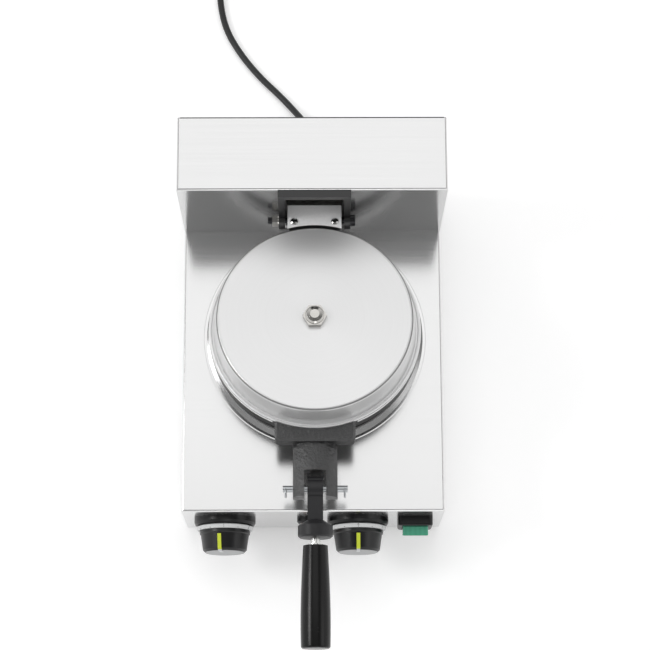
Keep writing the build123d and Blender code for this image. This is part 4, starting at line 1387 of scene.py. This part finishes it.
@dataclass
class MainsLead(SubAssembly):
    """The boot at the back panel, the smooth mains cord with its coil, and the plug.

    Attributes:
        diameter: The cord's diameter.
        exit_y: Where the cord leaves its boot; it is not used.
        boot_y: Where the boot leaves the back panel.
        boot_z: The boot's height.
        route: The cord's way from the boot to the coil.
        inner_radius: The coil's innermost turn.
        pitch: From one turn of the coil to the next.
        layer: From the coil's lower layer to its upper one.
        turns_in: Turns that wind inwards on the table.
        turns: All the turns.
        turn_steps: Control points in each turn.
        tail: From the coil to the plug.
        plug_face: From the tail's end to the plug's face.
    """

    diameter: float = 6.5
    exit_y: float = 364.0
    boot_y: float = 334.0
    boot_z: float = 26.0
    route: Sequence[Point] = (
        (0.0, 364.0, 26.0), (0.0, 380.0, 26.0), (-3.0, 396.0, 20.5), (-9.5, 410.0, 11.0),
        (-19.0, 423.5, 4.5), (-33.0, 439.5, 3.3), (-53.0, 459.0, 3.3), (-72.0, 483.0, 3.3),
        (-87.0, 509.0, 3.3), (-93.5, 537.0, 3.3), (-94.5, 566.0, 3.3), (-94.5, 593.0, 3.3))
    inner_radius: float = 26.0
    pitch: float = 8.6
    layer: float = 7.4
    turns_in: float = 2.5
    turns: float = 5.0
    turn_steps: int = 16
    tail: float = 45.0
    plug_face: float = 48.3

    def build(self) -> None:
        """Builds the boot and the cord, and dresses the plug."""
        self.dress(CERAMIC, "terminal_block")
        self.add_boot()
        points = [at(*p) for p in self.route] + self.coil_points()
        self.add_cord(points)
        face = points[-1].y + self.plug_face * MM
        self.dress(PlugFinish("plug_pvc_and_brass", "#161617", 0.4, 0.05, face), "plug")

    def coil_points(self) -> list[Vector]:
        """The coil's control points: inwards on the table, then outwards one layer up.

        Returns:
            The points, with the straight tail to the plug.
        """
        x, y, z = self.route[-1]
        start = y + self.diameter
        middle = x + self.inner_radius + self.pitch * self.turns_in
        # The smooth line cuts the corners between its points, so they stand a little further out.
        swell = 1.0 + (math.pi / self.turn_steps) ** 2 / 2
        points = []
        for i in range(round(self.turns * self.turn_steps) + 1):
            turn = i / self.turn_steps
            back = turn - self.turns_in
            radius = (self.inner_radius + self.pitch * max(-back, back - 0.5, 0.0)) * swell
            angle = math.pi - 2 * math.pi * turn
            points.append(at(middle + radius * math.cos(angle), start + radius * math.sin(angle),
                             z + self.layer * min(1.0, max(0.0, back * 2))))
        for _ in range(3):
            points.append(points[-1] + Vector((0.0, self.tail * MM / 3, 0.0)))
        return points

    def add_cord(self, points: Sequence[Vector]) -> None:
        """Draws the cord as one smooth spline.

        Args:
            points: Its control points, in metres.
        """
        cord = tube("mains_cord", "NURBS", points, self.diameter / 2, 5)
        cord.data.resolution_u = 6
        cord.data.splines[0].order_u = 3
        cord.data.splines[0].use_endpoint_u = True
        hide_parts("cord_lead", "cord_coil")
        self.keep(cord, Body.BASE, "cord_black", CORD_PVC)

    def add_boot(self) -> None:
        """Turns the ribbed boot that keeps the cord from kinking at the panel."""
        profile = [(0.0, -1.2), (9.0, -1.2), (9.0, 0.0), (12.2, 0.0), (12.5, 0.4), (12.5, 3.4), (12.0, 4.0),
                   (9.0, 4.4), (8.2, 5.4)]
        ribs, first, pitch, taper = 6, 6.2, 3.6, 0.135
        for start in (first + i * pitch for i in range(ribs)):
            radius = 8.0 - (start - 5.4) * taper
            profile += [(radius, start), (radius - 0.1, start + 1.9), (radius - 1.1, start + 2.2),
                        (radius - 1.2, start + 3.2)]
        profile += [(4.9, 28.6), (4.6, 29.8), (3.9, 30.0), (0.0, 30.0)]
        place = (Matrix.Translation(at(0.0, self.boot_y, self.boot_z))
                 @ Matrix.Rotation(-math.pi / 2, 4, "X"))
        boot = mesh_object("cord_boot", turned_shape(profile, place, 48))
        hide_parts("cord_gland")
        self.keep(boot, Body.BASE, "black_plastic", CORD_PVC)


# The studio


@dataclass
class Studio:
    """The plain floor, the soft lamps and the camera of the photograph.

    Attributes:
        focal: The lens on a 36 mm sensor.
        eye: The camera's place in the frame, in millimetres.
        elevation: How steeply it looks down, in degrees.
        yaw: Its turn about the vertical, in degrees.
        roll: Its turn about its own axis, in degrees.
        lamps: Each soft box's name, place, side in metres and power in watts.
        aim: Where the soft boxes point.
        floor_size: The floor's side in metres.
        floor_z: The floor's height in metres, just under the feet.
        floor_glow: What the floor adds to its light for the camera, to come out white.
        ambient: The level of light from all round.
        ceiling: How bright the ceiling looks in a gloss, where the walls are white.
        ceiling_slope: The rise of a reflected ray at which the dimming starts and ends.
    """

    focal: float = 114.76
    eye: Point = (2.384, -396.446, 1975.98)
    elevation: float = 75.928
    yaw: float = 1.112
    roll: float = 0.914
    lamps: Sequence[tuple[str, Point, float, float]] = (
        ("top_softbox", (0.0, 1.0, 2.35), 2.1, 14.5),
        ("key_softbox", (-1.5, 0.1, 1.5), 0.5, 9.0),
        ("front_softbox", (0.2, -1.8, 1.5), 0.8, 3.0),
        ("side_softbox", (1.4, -0.3, 1.3), 0.8, 2.5))
    aim: Point = (0.0, 0.0, 0.1)
    floor_size: float = 14.0
    floor_z: float = -0.0002
    floor_glow: float = 0.22
    ambient: float = 0.6
    ceiling: float = 0.2
    ceiling_slope: Pair = (0.4, 0.8)

    def build(self) -> None:
        """Sets up the floor, the light and the camera."""
        self.add_floor()
        self.add_lamps()
        self.add_room()
        self.add_camera()

    def seen(self, tree: Tree, *rays: str) -> Socket:
        """Tells where a ray comes from the camera or from a gloss.

        Args:
            tree: The tree that asks.
            *rays: More kinds of rays that count.

        Returns:
            1 for such rays and 0 for others.
        """
        path = add(tree, "ShaderNodeLightPath")
        found = reckon(tree, "MAXIMUM", path.outputs["Is Camera Ray"], path.outputs["Is Glossy Ray"])
        for kind in rays:
            found = reckon(tree, "MAXIMUM", found, path.outputs[kind])
        return found

    def add_floor(self) -> None:
        """Lays the white floor, which keeps the object's shadow."""
        shape = bmesh.new()
        half = self.floor_size / 2
        shape.faces.new([shape.verts.new((x * half, y * half, self.floor_z))
                         for x, y in ((-1, -1), (1, -1), (1, 1), (-1, 1))])
        floor = mesh_object("floor", shape, smooth=False)
        paper = bpy.data.materials.new("white_studio_paper")
        paper.use_nodes = True
        tree = paper.node_tree
        shader = tree.nodes["Principled BSDF"]
        feed(shader, Base_Color=linear("#F6F6F6"), Roughness=0.9, Specular_IOR_Level=0.1)
        level = reckon(tree, "MULTIPLY", self.seen(tree), self.floor_glow)
        glow = add(tree, "ShaderNodeEmission", Color=WHITE, Strength=level)
        both = add(tree, "ShaderNodeAddShader", i0=shader.outputs["BSDF"], i1=glow.outputs["Emission"])
        feed(tree.nodes["Material Output"], Surface=both.outputs["Shader"])
        floor.data.materials.append(paper)

    def add_lamps(self) -> None:
        """Hangs the soft boxes."""
        for name, place, size, power in self.lamps:
            lamp = bpy.data.lights.new(name, "AREA")
            lamp.shape = "SQUARE"
            lamp.size = size
            lamp.energy = power
            ahead = (Vector(self.aim) - Vector(place)).to_track_quat("-Z", "Y")
            put(name, lamp).matrix_world = Matrix.Translation(place) @ ahead.to_matrix().to_4x4()

    def add_room(self) -> None:
        """Builds a white room with a dimmer ceiling, which glosses show, and its even light."""
        world = bpy.data.worlds.new("white_studio")
        bpy.context.scene.world = world
        world.use_nodes = True
        tree = world.node_tree
        tree.nodes.clear()
        shown = self.seen(tree, "Is Transmission Ray")
        light = add(tree, "ShaderNodeBackground", Color=WHITE, Strength=self.ambient)
        way = add(tree, "ShaderNodeTexCoord")
        rise = add(tree, "ShaderNodeSeparateXYZ", Vector=way.outputs["Generated"])
        start, end = self.ceiling_slope
        dim = add(tree, "ShaderNodeMapRange", i0=rise.outputs["Z"], i1=start, i2=end, i3=1.0, i4=self.ceiling)
        white = add(tree, "ShaderNodeBackground", Color=WHITE, Strength=dim.outputs["Result"])
        both = add(tree, "ShaderNodeMixShader", Fac=shown, i1=light.outputs["Background"],
                   i2=white.outputs["Background"])
        add(tree, "ShaderNodeOutputWorld", Surface=both.outputs["Shader"])
        bpy.context.scene.view_settings.view_transform = "Standard"

    def add_camera(self) -> None:
        """Puts the camera where the photograph was taken from."""
        steep, yaw, roll = (math.radians(v) for v in (self.elevation, self.yaw, self.roll))
        ahead = Vector((math.sin(yaw) * math.cos(steep), math.cos(yaw) * math.cos(steep), -math.sin(steep)))
        level = Vector((math.cos(yaw), -math.sin(yaw), 0.0))
        upright = level.cross(ahead)
        right = level * math.cos(roll) + upright * math.sin(roll)
        up = upright * math.cos(roll) - level * math.sin(roll)
        lens = bpy.data.cameras.new("photo_camera")
        lens.lens = self.focal
        lens.sensor_width = 36.0
        lens.sensor_fit = "HORIZONTAL"
        lens.clip_end = 50.0
        camera = put("photo_camera", lens)
        turn = Matrix((right, up, -ahead)).transposed().to_4x4()
        camera.matrix_world = Matrix.Translation(Vector(self.eye) * MM) @ turn
        bpy.context.scene.camera = camera


def main() -> None:
    """Loads the frame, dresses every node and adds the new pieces."""
    logging.basicConfig(level=logging.INFO, format="%(name)s: %(message)s")
    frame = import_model()
    nodes = frame["nodes"]
    Studio().build()
    for part in (Housing(nodes), CookingHead(nodes), Lid(nodes), LatchLever(nodes), Hinge(nodes),
                 Dial(nodes, "timer", -82.0, "12345", 11.0), Dial(nodes, "thermostat", 41.5, "01234"),
                 PowerSwitch(nodes), MainsLead(nodes)):
        part.build()
        log.info("%s is finished", type(part).__name__)


if __name__ == "__main__":
    main()
